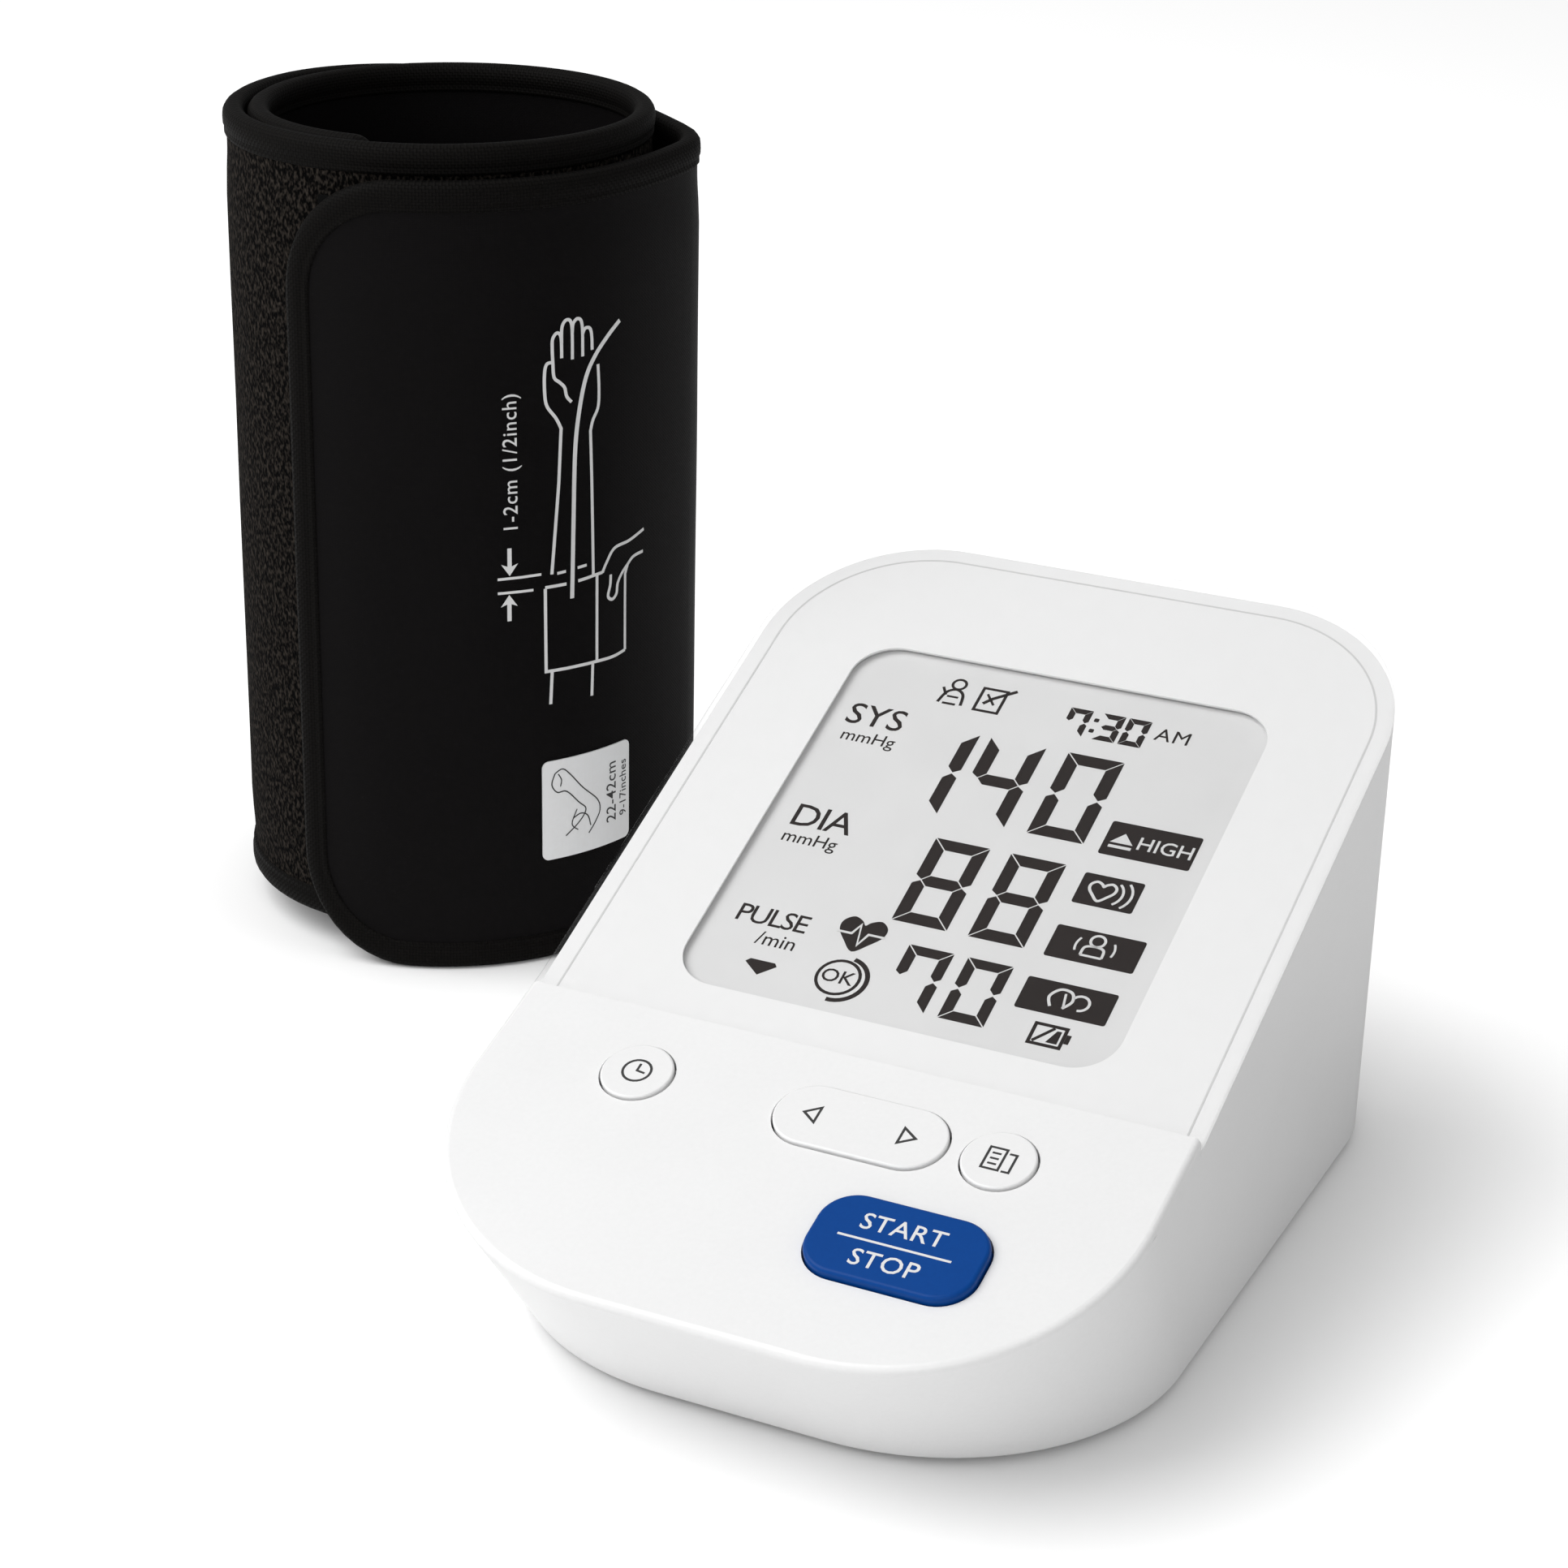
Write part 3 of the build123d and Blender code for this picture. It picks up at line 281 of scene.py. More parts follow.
shell_white = solid_finish("shell_white", grey(0.86), grey(0.89), 0.26, 0.36, depth=0.00001)
key_white = solid_finish("key_white", grey(0.86), grey(0.89), 0.22, 0.3, depth=0.00001)
border_white = solid_finish("border_white", grey(0.86), grey(0.88), 0.4, 0.5, grain=400.0)
key_blue = solid_finish(
    "key_blue", (0.0, 0.05, 0.25), (0.0, 0.057, 0.28), 0.34, 0.44, Specular_IOR_Level=0.14
)
board_green = solid_finish(
    "board_green", (0.01, 0.13, 0.05), (0.02, 0.2, 0.08), 0.25, 0.45, grain=800.0
)
plastic_black = solid_finish("plastic_black", grey(0.012), grey(0.02), 0.4, 0.55)
plastic_grey = solid_finish("plastic_grey", grey(0.38), grey(0.45), 0.4, 0.55)
steel = solid_finish("steel", grey(0.45), grey(0.6), 0.25, 0.42, grain=2500.0, Metallic=1.0)
plated = solid_finish("plated", (0.6, 0.58, 0.5), (0.72, 0.7, 0.62), 0.2, 0.35, Metallic=1.0)
copper = solid_finish(
    "copper", (0.5, 0.2, 0.08), (0.72, 0.32, 0.14), 0.3, 0.45, grain=3000.0, Metallic=1.0
)
cell_jacket = solid_finish("cell_jacket", grey(0.05), (0.09, 0.09, 0.1), 0.25, 0.35, Metallic=0.6)
foot_rubber = solid_finish("foot_rubber", grey(0.02), grey(0.035), 0.7, 0.85, depth=0.00005)
silicone = solid_finish("silicone", (0.6, 0.6, 0.56), (0.7, 0.7, 0.66), 0.35, 0.5)

finishes = {
    "upper_case": shell_white, "lower_case": shell_white, "battery_cover": shell_white,
    "lcd_holder": shell_white, "display_mask": border_white, "start_stop_button": key_blue,
    "clock_button": key_white, "memory_button": key_white, "arrow_rocker": key_white,
    "main_board": board_green, "key_board": board_green, "board_chips": plastic_black,
    "zebra_strips": plastic_black, "key_switches": plastic_black, "pump_head": plastic_black,
    "pressure_sensor": plastic_black, "dc_jack": plastic_black, "valve_cap": plastic_black,
    "cuff_nozzle": plastic_black, "air_manifold": plastic_grey, "air_jack": plastic_grey,
    "cuff_stay": plastic_grey, "board_screws": steel, "case_screws": steel, "rocker_pin": steel,
    "pump_motor": steel, "pump_shaft": steel, "pump_strap": steel, "valve_frame": steel,
    "valve_plunger": steel, "valve_spring": steel, "battery_contacts": plated,
    "battery_springs": plated, "valve_coil": copper, "batteries": cell_jacket,
    "rubber_feet": foot_rubber, "cuff_bladder": foot_rubber, "pump_hose": silicone,
    "jack_hose": silicone, "valve_hose": silicone,
}


def give(node_name, material):
    """Puts one material in all slots of a node."""
    for holder in nodes[node_name].material_slots:
        holder.material = material


for node_name, material in finishes.items():
    give(node_name, material)

# ---- display cover and glass ----
# The cover is clear and polished: it lets the border and the glass show, mirrors the
# room a little, and is faintly milky. The glass behind it is pale grey with a fine grid.

cover_clear, tree = new_material("cover_clear")
place = add_node(tree, "ShaderNodeTexCoord").outputs["Object"]
polish = grouped(tree, mottle_group, place, Coarse=25.0, Fine=200.0)
through = add_node(tree, "ShaderNodeBsdfTransparent", Color=(1, 1, 1, 1))
milk = add_node(tree, "ShaderNodeBsdfDiffuse", Color=(0.85, 0.85, 0.85, 1))
body_mix = add_node(tree, "ShaderNodeMixShader", Fac=rough(tree, polish, 0.002, 0.008))
tree.links.new(through.outputs[0], body_mix.inputs[1])
tree.links.new(milk.outputs[0], body_mix.inputs[2])
mirror = add_node(tree, "ShaderNodeBsdfGlossy", Roughness=rough(tree, polish, 0.03, 0.06))
facing = add_node(tree, "ShaderNodeFresnel", IOR=1.45)
inside = add_node(tree, "ShaderNodeNewGeometry").outputs["Backfacing"]
gloss = math_node(tree, "MULTIPLY", facing.outputs[0], math_node(tree, "SUBTRACT", 1.0, inside))
cover_mix = add_node(tree, "ShaderNodeMixShader", Fac=gloss)
tree.links.new(body_mix.outputs[0], cover_mix.inputs[1])
tree.links.new(mirror.outputs[0], cover_mix.inputs[2])
add_node(tree, "ShaderNodeOutputMaterial", Surface=cover_mix.outputs[0])
give("display_cover", cover_clear)

glass_grey, tree = new_material("glass_grey")
place = add_node(tree, "ShaderNodeTexCoord").outputs["Object"]
mottle = grouped(tree, mottle_group, place, Coarse=12.0, Fine=60.0)
grid = grouped(tree, weave_group, place, Threads=1400.0)
lit = math_node(tree, "MULTIPLY_ADD", grid, 0.06)
tree.links.new(mottle, lit.node.inputs[2])
surface = add_node(
    tree,
    "ShaderNodeBsdfPrincipled",
    Base_Color=ramp(tree, lit, grey(0.70), grey(0.76)),
    Roughness=rough(tree, mottle, 0.35, 0.45),
)
add_node(tree, "ShaderNodeOutputMaterial", Surface=surface.outputs["BSDF"])
give("lcd_panel", glass_grey)

# ---- flat shapes for prints ----
# Each shape is a list of (points, faces) in millimetres on a flat sheet. A print maps its
# shapes onto the glass, the border, a key or the cuff, given right, up and out.


def polygon(points):
    """One filled outline."""
    return [(list(points), [tuple(range(len(points)))])]


def arc_points(x, y, radius, first=0.0, last=360.0, steps=28):
    """Points along an arc, angles in degrees."""
    angles = [radians(first + (last - first) * step / steps) for step in range(steps + 1)]
    return [(x + radius * cos(angle), y + radius * sin(angle)) for angle in angles]


def smooth(points, closed=False, steps=6):
    """Catmull-Rom curve through a few points."""
    count = len(points)
    result = []
    for index in range(count if closed else count - 1):
        if closed:
            corners = [points[(index + step) % count] for step in (-1, 0, 1, 2)]
        else:
            corners = [points[min(max(index + step, 0), count - 1)] for step in (-1, 0, 1, 2)]
        for step in range(steps):
            t = step / steps
            weights = (
                -t**3 + 2 * t**2 - t,
                3 * t**3 - 5 * t**2 + 2,
                -3 * t**3 + 4 * t**2 + t,
                t**3 - t**2,
            )
            weighted = [(w * px / 2, w * py / 2) for w, (px, py) in zip(weights, corners)]
            result.append(tuple(map(sum, zip(*weighted))))
    return result if closed else result + [points[-1]]


def stroke(points, thick, closed=False):
    """Line of one thickness along points, with mitred joints."""
    count = len(points)
    left, right = [], []
    for index, (x, y) in enumerate(points):
        before = points[index - 1] if index or closed else points[index]
        after = points[(index + 1) % count] if index < count - 1 or closed else points[index]
        into = Vector((x - before[0], y - before[1]))
        out = Vector((after[0] - x, after[1] - y))
        into = into.normalized() if into.length > 1e-9 else out.normalized()
        out = out.normalized() if out.length > 1e-9 else into
        middle = (into + out).normalized() if (into + out).length > 1e-6 else into
        reach = thick / 2 / max(middle.dot(out), 0.5)
        left.append((x - middle.y * reach, y + middle.x * reach))
        right.append((x + middle.y * reach, y - middle.x * reach))
    pairs = [(i, (i + 1) % count) for i in range(count if closed else count - 1)]
    return [(left + right, [(i, i + count, j + count, j) for i, j in pairs])]


def rounded(x0, y0, x1, y1, radius):
    """Filled box with round corners."""
    corners = [(x1 - radius, y1 - radius, 0), (x0 + radius, y1 - radius, 90)]
    corners += [(x0 + radius, y0 + radius, 180), (x1 - radius, y0 + radius, 270)]
    points = []
    for x, y, first in corners:
        points += arc_points(x, y, radius, first, first + 90, 6)
    return polygon(points)


capital_share = 0.73


def lettering(text, height, x, y, turn=0.0, bold=0.0, spread=1.0):
    """Plain letters or numbers of a capital height, with their middle at x, y."""
    curve = bpy.data.curves.new("lettering", "FONT")
    curve.body = text
    curve.size = height / capital_share
    curve.offset = bold
    curve.space_character = spread
    curve.align_x = "CENTER"
    curve.align_y = "CENTER"
    curve.resolution_u = 3
    holder = bpy.data.objects.new("lettering", curve)
    mesh = bpy.data.meshes.new_from_object(holder)
    angle = radians(turn)
    points = [
        (x + px * cos(angle) - py * sin(angle), y + px * sin(angle) + py * cos(angle))
        for px, py, _ in (vertex.co for vertex in mesh.vertices)
    ]
    faces = [tuple(face.vertices) for face in mesh.polygons]
    bpy.data.objects.remove(holder)
    bpy.data.curves.remove(curve)
    bpy.data.meshes.remove(mesh)
    return [(points, faces)]


lit_segments = {
    "0": "abcdef", "1": "bc", "3": "abgcd", "4": "fgbc", "7": "fabc", "8": "abcdefg",
}


def digit(sign, right, foot, wide, high, thick, gap=0.14):
    """Upright seven-segment digit, mitred at its corners, from its lower right corner."""
    half, tip = high / 2, thick / 2
    left, right_end = thick + gap, wide - thick - gap
    top = [(gap, high), (wide - gap, high), (right_end, high - thick), (left, high - thick)]
    upper = [(0, high - gap), (thick, high - thick - gap), (thick, half + tip + gap)]
    upper += [(tip, half + gap), (0, half + gap + thick * 0.35)]
    middle = [(tip + gap, half), (left, half + tip), (right_end, half + tip)]
    middle += [(wide - tip - gap, half), (right_end, half - tip), (left, half - tip)]
    forms = {
        "a": top,
        "d": [(px, high - py) for px, py in top],
        "f": upper,
        "e": [(px, high - py) for px, py in upper],
        "b": [(wide - px, py) for px, py in upper],
        "c": [(wide - px, high - py) for px, py in upper],
        "g": middle,
    }
    shapes = []
    for name in lit_segments[sign]:
        shapes += polygon([(right - wide + px, foot + py) for px, py in forms[name]])
    return shapes


def print_piece(name, shapes, where, material, body, longest=None, thick=0.03):
    """Thin closed mesh of flat shapes laid on a surface, cut small if it has to bend."""
    build = bmesh.new()
    for points, faces in shapes:
        corners = [build.verts.new((px, py, 0)) for px, py in points]
        for face in faces:
            ordered = [corners[index] for index in face]
            made = build.faces.new(ordered)
            made.normal_update()
            if made.normal.z < 0:
                made.normal_flip()
    bmesh.ops.remove_doubles(build, verts=build.verts, dist=1e-5)
    for axis in (0, 1) if longest else ():
        reach = [vert.co[axis] for vert in build.verts]
        for cut in range(1, int((max(reach) - min(reach)) / longest) + 1):
            place, across = Vector((0, 0, 0)), Vector((0, 0, 0))
            place[axis], across[axis] = min(reach) + cut * longest, 1
            whole = build.verts[:] + build.edges[:] + build.faces[:]
            bmesh.ops.bisect_plane(build, geom=whole, dist=1e-5, plane_co=place, plane_no=across)
    bmesh.ops.triangulate(build, faces=[face for face in build.faces if len(face.verts) > 4])
    raised = bmesh.ops.extrude_face_region(build, geom=build.faces[:])["geom"]
    raised_verts = [part for part in raised if isinstance(part, bmesh.types.BMVert)]
    bmesh.ops.translate(build, vec=(0, 0, thick), verts=raised_verts)
    bmesh.ops.recalc_face_normals(build, faces=build.faces)
    for vert in build.verts:
        vert.co = where(*vert.co)
    mesh = bpy.data.meshes.new(name)
    build.to_mesh(mesh)
    build.free()
    piece = bpy.data.objects.new(name, mesh)
    scene.collection.objects.link(piece)
    mesh.materials.append(material)
    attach(piece, body)


# ---- what the display shows ----
# Systolic, diastolic and pulse numbers on the right, their labels on the left, the time
# and small icons above, and dark boxes with icons down the right edge.

display_slope = radians(23.5)
glass_thickness = 0.002
marks_right, marks_down = 0.0007, 0.002
panel_low, panel_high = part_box("lcd_panel")
glass_normal = Vector((0, -sin(display_slope), cos(display_slope)))
glass_up = Vector((0, cos(display_slope), sin(display_slope)))
glass_middle = (Vector(panel_low) + Vector(panel_high)) / 2
glass_right = Vector((1, 0, 0))


def on_slope(origin):
    """Map from millimetres right, up the display's slope and out, from a point."""
    return lambda x, y, z: origin + (glass_right * x + glass_up * y + glass_normal * z) / 1000


glass_face = glass_middle + glass_normal * (glass_thickness / 2)
marks_origin = glass_face + glass_right * marks_right - glass_up * marks_down
icons_origin = marks_origin + glass_normal * 0.00003

segment_ink = solid_finish(
    "segment_ink", (0.008, 0.004, 0.003), (0.014, 0.008, 0.007), 0.4, 0.55, Specular_IOR_Level=0.1
)
pale_ink = solid_finish("pale_ink", grey(0.66), grey(0.72), 0.4, 0.5)

readings = []
for number, foot, wide, high, thick in (
    ((("1", -10.0), ("4", 1.1), ("0", 14.0)), 7.2, 9.2, 18.0, 2.25),
    ((("8", 0.9), ("8", 13.2)), -15.1, 8.9, 17.6, 2.15),
    ((("7", 3.9), ("0", 13.3)), -31.2, 7.2, 12.2, 1.75),
):
    for sign, right in number:
        readings += digit(sign, right, foot, wide, high, thick)
clock_time = []
for sign, right in (("7", 5.3), ("3", 10.7), ("0", 15.0)):
    clock_time += digit(sign, right, 28.9, 3.7, 5.9, 1.05, gap=0.06)
clock_time += rounded(6.0, 30.2, 6.8, 31.0, 0.2) + rounded(6.0, 32.6, 6.8, 33.4, 0.2)
clock_time += lettering("AM", 2.8, 19.2, 32.4, spread=1.1)

labels = lettering("SYS", 4.8, -27.6, 24.5, bold=0.012)
labels += lettering("mmHg", 2.5, -27.0, 19.8)
labels += lettering("DIA", 4.8, -26.6, 1.2, bold=0.012, spread=0.92)
labels += lettering("mmHg", 2.5, -26.8, -3.3)
labels += lettering("PULSE", 3.6, -25.4, -20.0, bold=0.01, spread=0.88)
labels += lettering("/min", 2.7, -22.9, -24.1)

arrow_points = [(-25.8, -28.9), (-25.2, -28.2), (-21.2, -28.2), (-20.7, -28.8), (-23.0, -31.0)]
arrow_down = polygon(arrow_points)
ring_icon = stroke(arc_points(-11.0, -28.1, 3.3)[:-1], 0.5, closed=True)
ring_icon += stroke(arc_points(-10.7, -28.3, 4.2, -95, 80, 18), 0.75)
ring_icon += lettering("OK", 2.6, -11.1, -28.1, bold=0.02)


def heart(x, y, size):
    """Points round a heart, its middle at x, y."""
    half = [(0, -1.0), (0.55, -0.5), (0.98, 0.05), (1.0, 0.55), (0.62, 0.88), (0.2, 0.72)]
    whole = half + [(0, 0.5)] + [(-px, py) for px, py in reversed(half[1:])]
    return smooth([(x + px * size, y + py * size) for px, py in whole], closed=True, steps=4)


heart_icon = polygon(heart(-11.2, -19.2, 3.6))
battery_frame = [(20.4, -31.8), (25.2, -31.8), (25.2, -28.1), (20.4, -28.1)]
battery_icon = stroke(battery_frame, 0.55, closed=True)
battery_icon += polygon([(25.5, -30.8), (26.2, -30.8), (26.2, -29.1), (25.5, -29.1)])
battery_icon += polygon([(22.9, -31.2), (24.6, -31.2), (24.6, -28.8), (23.9, -28.8)])
battery_icon += stroke([(20.9, -31.4), (23.4, -28.4)], 0.5)
shoulders = [(-19.6, 30.6), (-19.0, 33.0), (-17.6, 33.9), (-16.2, 33.0), (-15.7, 30.6)]
person_icon = stroke(smooth(shoulders), 0.5)
person_icon += stroke(arc_points(-17.6, 35.1, 1.1)[:-1], 0.45, closed=True)
person_icon += stroke([(-18.8, 30.6), (-16.6, 30.6)], 0.45)
person_icon += stroke([(-19.9, 34.0), (-18.9, 32.4)], 0.45)
person_icon += stroke([(-18.6, 32.2), (-16.7, 32.2)], 0.4)
book_icon = stroke([(-13.4, 30.4), (-9.4, 30.4), (-9.4, 35.4), (-13.4, 35.4)], 0.5, closed=True)
book_icon += stroke([(-12.4, 32.0), (-11.2, 33.4), (-8.0, 35.9)], 0.6)
book_icon += stroke([(-12.4, 34.2), (-10.6, 32.0)], 0.4)

boxes = rounded(16.7, 6.1, 31.1, 13.1, 0.4) + rounded(16.5, -4.4, 26.0, 1.9, 0.4)
boxes += rounded(16.4, -15.5, 30.3, -9.1, 0.4) + rounded(16.0, -26.1, 30.0, -19.9, 0.4)
dark_marks = readings + clock_time + labels + arrow_down + ring_icon + heart_icon
dark_marks += battery_icon + person_icon + book_icon + boxes
print_piece(
    "display_marks", dark_marks, on_slope(marks_origin), segment_ink, "unit"
)

high_mark = stroke([(17.7, 8.0), (21.3, 8.0)], 0.55)
high_mark += polygon([(17.7, 8.8), (21.3, 8.8), (19.5, 10.9)])
high_mark += lettering("HIGH", 2.7, 26.3, 9.4, bold=0.02)
beat_mark = stroke(heart(20.2, -1.3, 2.0), 0.45, closed=True)
beat_mark += stroke(arc_points(20.8, -1.3, 2.7, -50, 50, 8), 0.4)
beat_mark += stroke(arc_points(21.4, -1.3, 3.5, -45, 45, 8), 0.4)
body_mark = stroke(arc_points(23.3, -10.9, 1.1)[:-1], 0.42, closed=True)
body_line = [(21.6, -14.0), (21.8, -12.4), (23.3, -12.0), (24.7, -12.4), (24.9, -14.0)]
body_mark += stroke(smooth(body_line), 0.42)
body_mark += stroke([(21.6, -14.0), (24.9, -14.0)], 0.4)
for first, last in ((150, 200), (-20, 30)):
    body_mark += stroke(arc_points(23.3, -12.3, 3.0, first, last, 6), 0.35)
arm_line = [(21.0, -24.6), (20.3, -22.8), (21.5, -21.2), (23.3, -21.4), (23.9, -23.0)]
arm_mark = stroke(smooth(arm_line + [(22.9, -24.6)]), 0.45)
arm_mark += stroke([(22.5, -21.8), (23.0, -24.4)], 0.35)
arm_mark += stroke(arc_points(25.1, -23.0, 1.4, -90, 150, 10), 0.42)
pulse_line = [(-15.0, -19.4), (-12.6, -19.4), (-11.8, -17.4), (-10.9, -21.4), (-10.0, -19.0)]
heart_line = stroke(pulse_line + [(-7.4, -19.0)], 0.4)
light_marks = high_mark + beat_mark + body_mark + arm_mark + heart_line
print_piece(
    "display_icons", light_marks, on_slope(icons_origin), pale_ink, "unit"
)

# ---- painted shade at the border's edge ----
# The white border is printed on the clear cover's underside. A fine grey line is painted on it round three sides,
# a little in from its outline: painted shade that stands in for the cover's edge seen through its thickness.

border_inset = 2.8
edge_width = 0.3
shade_line_gap = 0.01
mask_corners = [vertex.co for vertex in nodes["display_mask"].data.vertices]
mask_top = max(corner.dot(glass_normal) for corner in mask_corners)
flat_corners = [(corner.x * 1000, corner.dot(glass_up) * 1000) for corner in mask_corners]
spread_out = sorted({(round(x, 2), round(y, 2)) for x, y in flat_corners})


def half_hull(points):
    """Left-turning chain of the convex outline through sorted points."""
    chain = []
    for x, y in points:
        while len(chain) > 1:
            (ax, ay), (bx, by) = chain[-2:]
            if (bx - ax) * (y - ay) - (by - ay) * (x - ax) > 1e-6:
                break
            chain.pop()
        chain.append((x, y))
    return chain


outline = half_hull(spread_out)[:-1] + half_hull(spread_out[::-1])[:-1]
inset_line = []
for index, (x, y) in enumerate(outline):
    before, after = outline[index - 1], outline[(index + 1) % len(outline)]
    into = Vector((x - before[0], y - before[1])).normalized()
    out = Vector((after[0] - x, after[1] - y)).normalized()
    along = (into + out).normalized()
    inset_line.append((x - along.y * border_inset, y + along.x * border_inset))
front_edge = min(y for x, y in outline)
# The line starts at the front right corner, goes round the rear and ends at the front left.
start = max(range(len(outline)), key=lambda index: outline[index][0] - 3 * outline[index][1])
inset_line = inset_line[start:] + inset_line[:start]
inset_line = [point for point in inset_line if point[1] > front_edge + border_inset]
first, last = inset_line[0], inset_line[-1]
line_end = front_edge + 0.2
inset_line = [(first[0], line_end)] + inset_line + [(last[0], line_end)]

# Grey of the painted shade line along the cover's edge, laid on the white border.
painted_edge_shade = solid_finish("painted_edge_shade", grey(0.62), grey(0.68), 0.4, 0.5)
edge_shade_line = stroke(inset_line, edge_width)
on_mask = on_slope(glass_normal * (mask_top + shade_line_gap / 1000))
print_piece("painted_border_edge_shade", edge_shade_line, on_mask, painted_edge_shade, "unit")

# ---- what the keys carry ----
# A clock face, two open arrows, a note block and the words START and STOP, each printed
# on its own key, so that it travels with the key.

panel_normal = -Vector(joints["start_press"]["axis"])
panel_right = Vector((1, 0, 0))
panel_up = panel_normal.cross(panel_right)


def on_key(node_name):
    """Map from a key's own millimetres: right, up and out from the middle of its top."""
    corners = [vertex.co for vertex in nodes[node_name].data.vertices]
    spans = []
    for axis in (panel_right, panel_up, panel_normal):
        reach = [corner.dot(axis) for corner in corners]
        spans.append((min(reach), max(reach)))
    middle = panel_right * (sum(spans[0]) / 2) + panel_up * (sum(spans[1]) / 2)
    top = middle + panel_normal * spans[2][1]
    return lambda x, y, z: top + (panel_right * x + panel_up * y + panel_normal * z) / 1000


key_ink = solid_finish("key_ink", grey(0.02), grey(0.04), 0.4, 0.5)
word_ink = solid_finish("word_ink", grey(0.75), grey(0.8), 0.4, 0.5)

clock_marks = stroke(arc_points(0, 0, 2.1)[:-1], 0.38, closed=True)
clock_marks += stroke([(0, 1.4), (0, 0), (1.3, -0.2)], 0.36)
print_piece("clock_mark", clock_marks, on_key("clock_button"), key_ink, "clock_key")

arrow_marks = stroke([(-8.6, 0), (-6.5, 1.5), (-6.5, -1.5)], 0.4, closed=True)
arrow_marks += stroke([(8.4, 0), (6.2, 1.5), (6.2, -1.5)], 0.4, closed=True)
print_piece("arrow_marks", arrow_marks, on_key("arrow_rocker"), key_ink, "arrow_key")

note_marks = stroke([(-1.9, -2.0), (0.6, -2.0), (0.6, 2.0), (-1.9, 2.0)], 0.36, closed=True)
for line_y in (-1.0, 0.0, 1.0):
    note_marks += stroke([(-1.3, line_y), (0.0, line_y)], 0.34)
note_marks += stroke([(1.1, -2.0), (2.2, -2.0), (2.2, 1.4), (1.1, 1.4)], 0.36)
print_piece("note_mark", note_marks, on_key("memory_button"), key_ink, "memory_key")

word_marks = lettering("START", 3.0, -0.1, 2.6, bold=0.02, spread=1.04)
word_marks += lettering("STOP", 3.0, -0.2, -3.8, bold=0.02, spread=1.04)
word_marks += stroke([(-8.4, -0.5), (8.2, -0.5)], 0.38)
on_start = on_key("start_stop_button")
print_piece("start_words", word_marks, on_start, word_ink, "start_key")

# ---- the cuff's roll ----
# The cuff is one long strip rolled up anticlockwise, flap outermost. Every piece of it is
# made flat, in millimetres along the strip, up it and outward, and then laid on the roll.

# Each arc is a radius in millimetres and a sweep in degrees, from the flap's free end on.
cuff_arcs = ((39.0, 88), (80.0, 15), (16.0, 50), (120.0, 8))
cuff_arcs += ((37.1, 150), (35.0, 180), (32.9, 180), (30.8, 70))
first_full_turn = 4
full_turn_heading = 120.0
flap_sweep = sum(sweep for radius, sweep in cuff_arcs[:first_full_turn])
first_heading = full_turn_heading - flap_sweep
turn_shift = 2.1
roll_turn = radians(31.4)
strip_height = 140.0
strip_length = sum(radius * radians(sweep) for radius, sweep in cuff_arcs)
flap_corner = 20.0
end_corner = 4.0
rise_start, rise_end, rise_height = 85.0, 185.0, 5.0
mount_places = {mount["name"]: mount["pos_m"] for mount in frame["record"]["mounts"]}
cuff_centre = Vector(mount_places["cuff_base"])

roll_table = []
heading, along = radians(first_heading), 0.0
x, y = 0.0, 0.0
for radius, sweep in cuff_arcs:
    centre_x, centre_y = x - radius * sin(heading), y + radius * cos(heading)
    roll_table.append((along, radius, centre_x, centre_y, heading - pi / 2))
    heading += radians(sweep)
    along += radius * radians(sweep)
    x, y = centre_x + radius * sin(heading), centre_y - radius * cos(heading)
origin_x = roll_table[first_full_turn][2] - turn_shift
origin_y = roll_table[first_full_turn][3]


def on_roll(along, height, out):
    """Place of a point of the strip once it is rolled up."""
    passed = [row for row in roll_table if row[0] <= max(along, 0)]
    start, radius, centre_x, centre_y, first = passed[-1]
    angle = first + (along - start) / radius
    x = centre_x - origin_x + (radius + out) * cos(angle)
    y = centre_y - origin_y + (radius + out) * sin(angle)
    share = min(max((along - rise_start) / (rise_end - rise_start), 0), 1)
    lift = rise_height * share * share * (3 - 2 * share)
    turned_x = x * cos(roll_turn) - y * sin(roll_turn)
    turned_y = x * sin(roll_turn) + y * cos(roll_turn)
    return cuff_centre + Vector((turned_x, turned_y, height + lift)) / 1000


def from_edge(along, height):
    """Distance from the nearest edge of the strip, whose flap has round corners."""
    up = min(height, strip_height - height)
    if along < flap_corner and up < flap_corner:
        return flap_corner - sqrt((flap_corner - along) ** 2 + (flap_corner - up) ** 2)
    return min(along, up, strip_length - along)


sewn_half, full_rise = 1.27, 0.36
swell_start, swell_reach = 6.2, 9.0
wave_along, wave_up, wave_height = 28, 34, 0.16


def cloth_swell(along, height):
    """Half thickness of the strip: thin at the bound edges, filled out in between."""
    inward = from_edge(along, height)
    share = min(max((inward - swell_start) / swell_reach, 0), 1)
    wave = noise.noise(Vector((along / wave_along, height / wave_up, 0))) * wave_height
    return sewn_half + (full_rise + wave) * share * share * (3 - 2 * share)


def lay_on_roll(name, build, material, slot_name, replaced):
    """Piece made from a flat mesh: its flat place becomes its UV map, then it is rolled up."""
    uv_layer = build.loops.layers.uv.new("strip")
    for face in build.faces:
        for loop in face.loops:
            loop[uv_layer].uv = (loop.vert.co.x / 1000, loop.vert.co.y / 1000)
        face.smooth = True
    for vert in build.verts:
        vert.co = on_roll(*vert.co)
    bmesh.ops.recalc_face_normals(build, faces=build.faces)
    mesh = bpy.data.meshes.new(name)
    build.to_mesh(mesh)
    build.free()
    piece = bpy.data.objects.new(name, mesh)
    scene.collection.objects.link(piece)
    mesh.materials.append(material)
    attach(piece, "cuff")
    for node_name in replaced:
        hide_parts(node_name)
    return piece


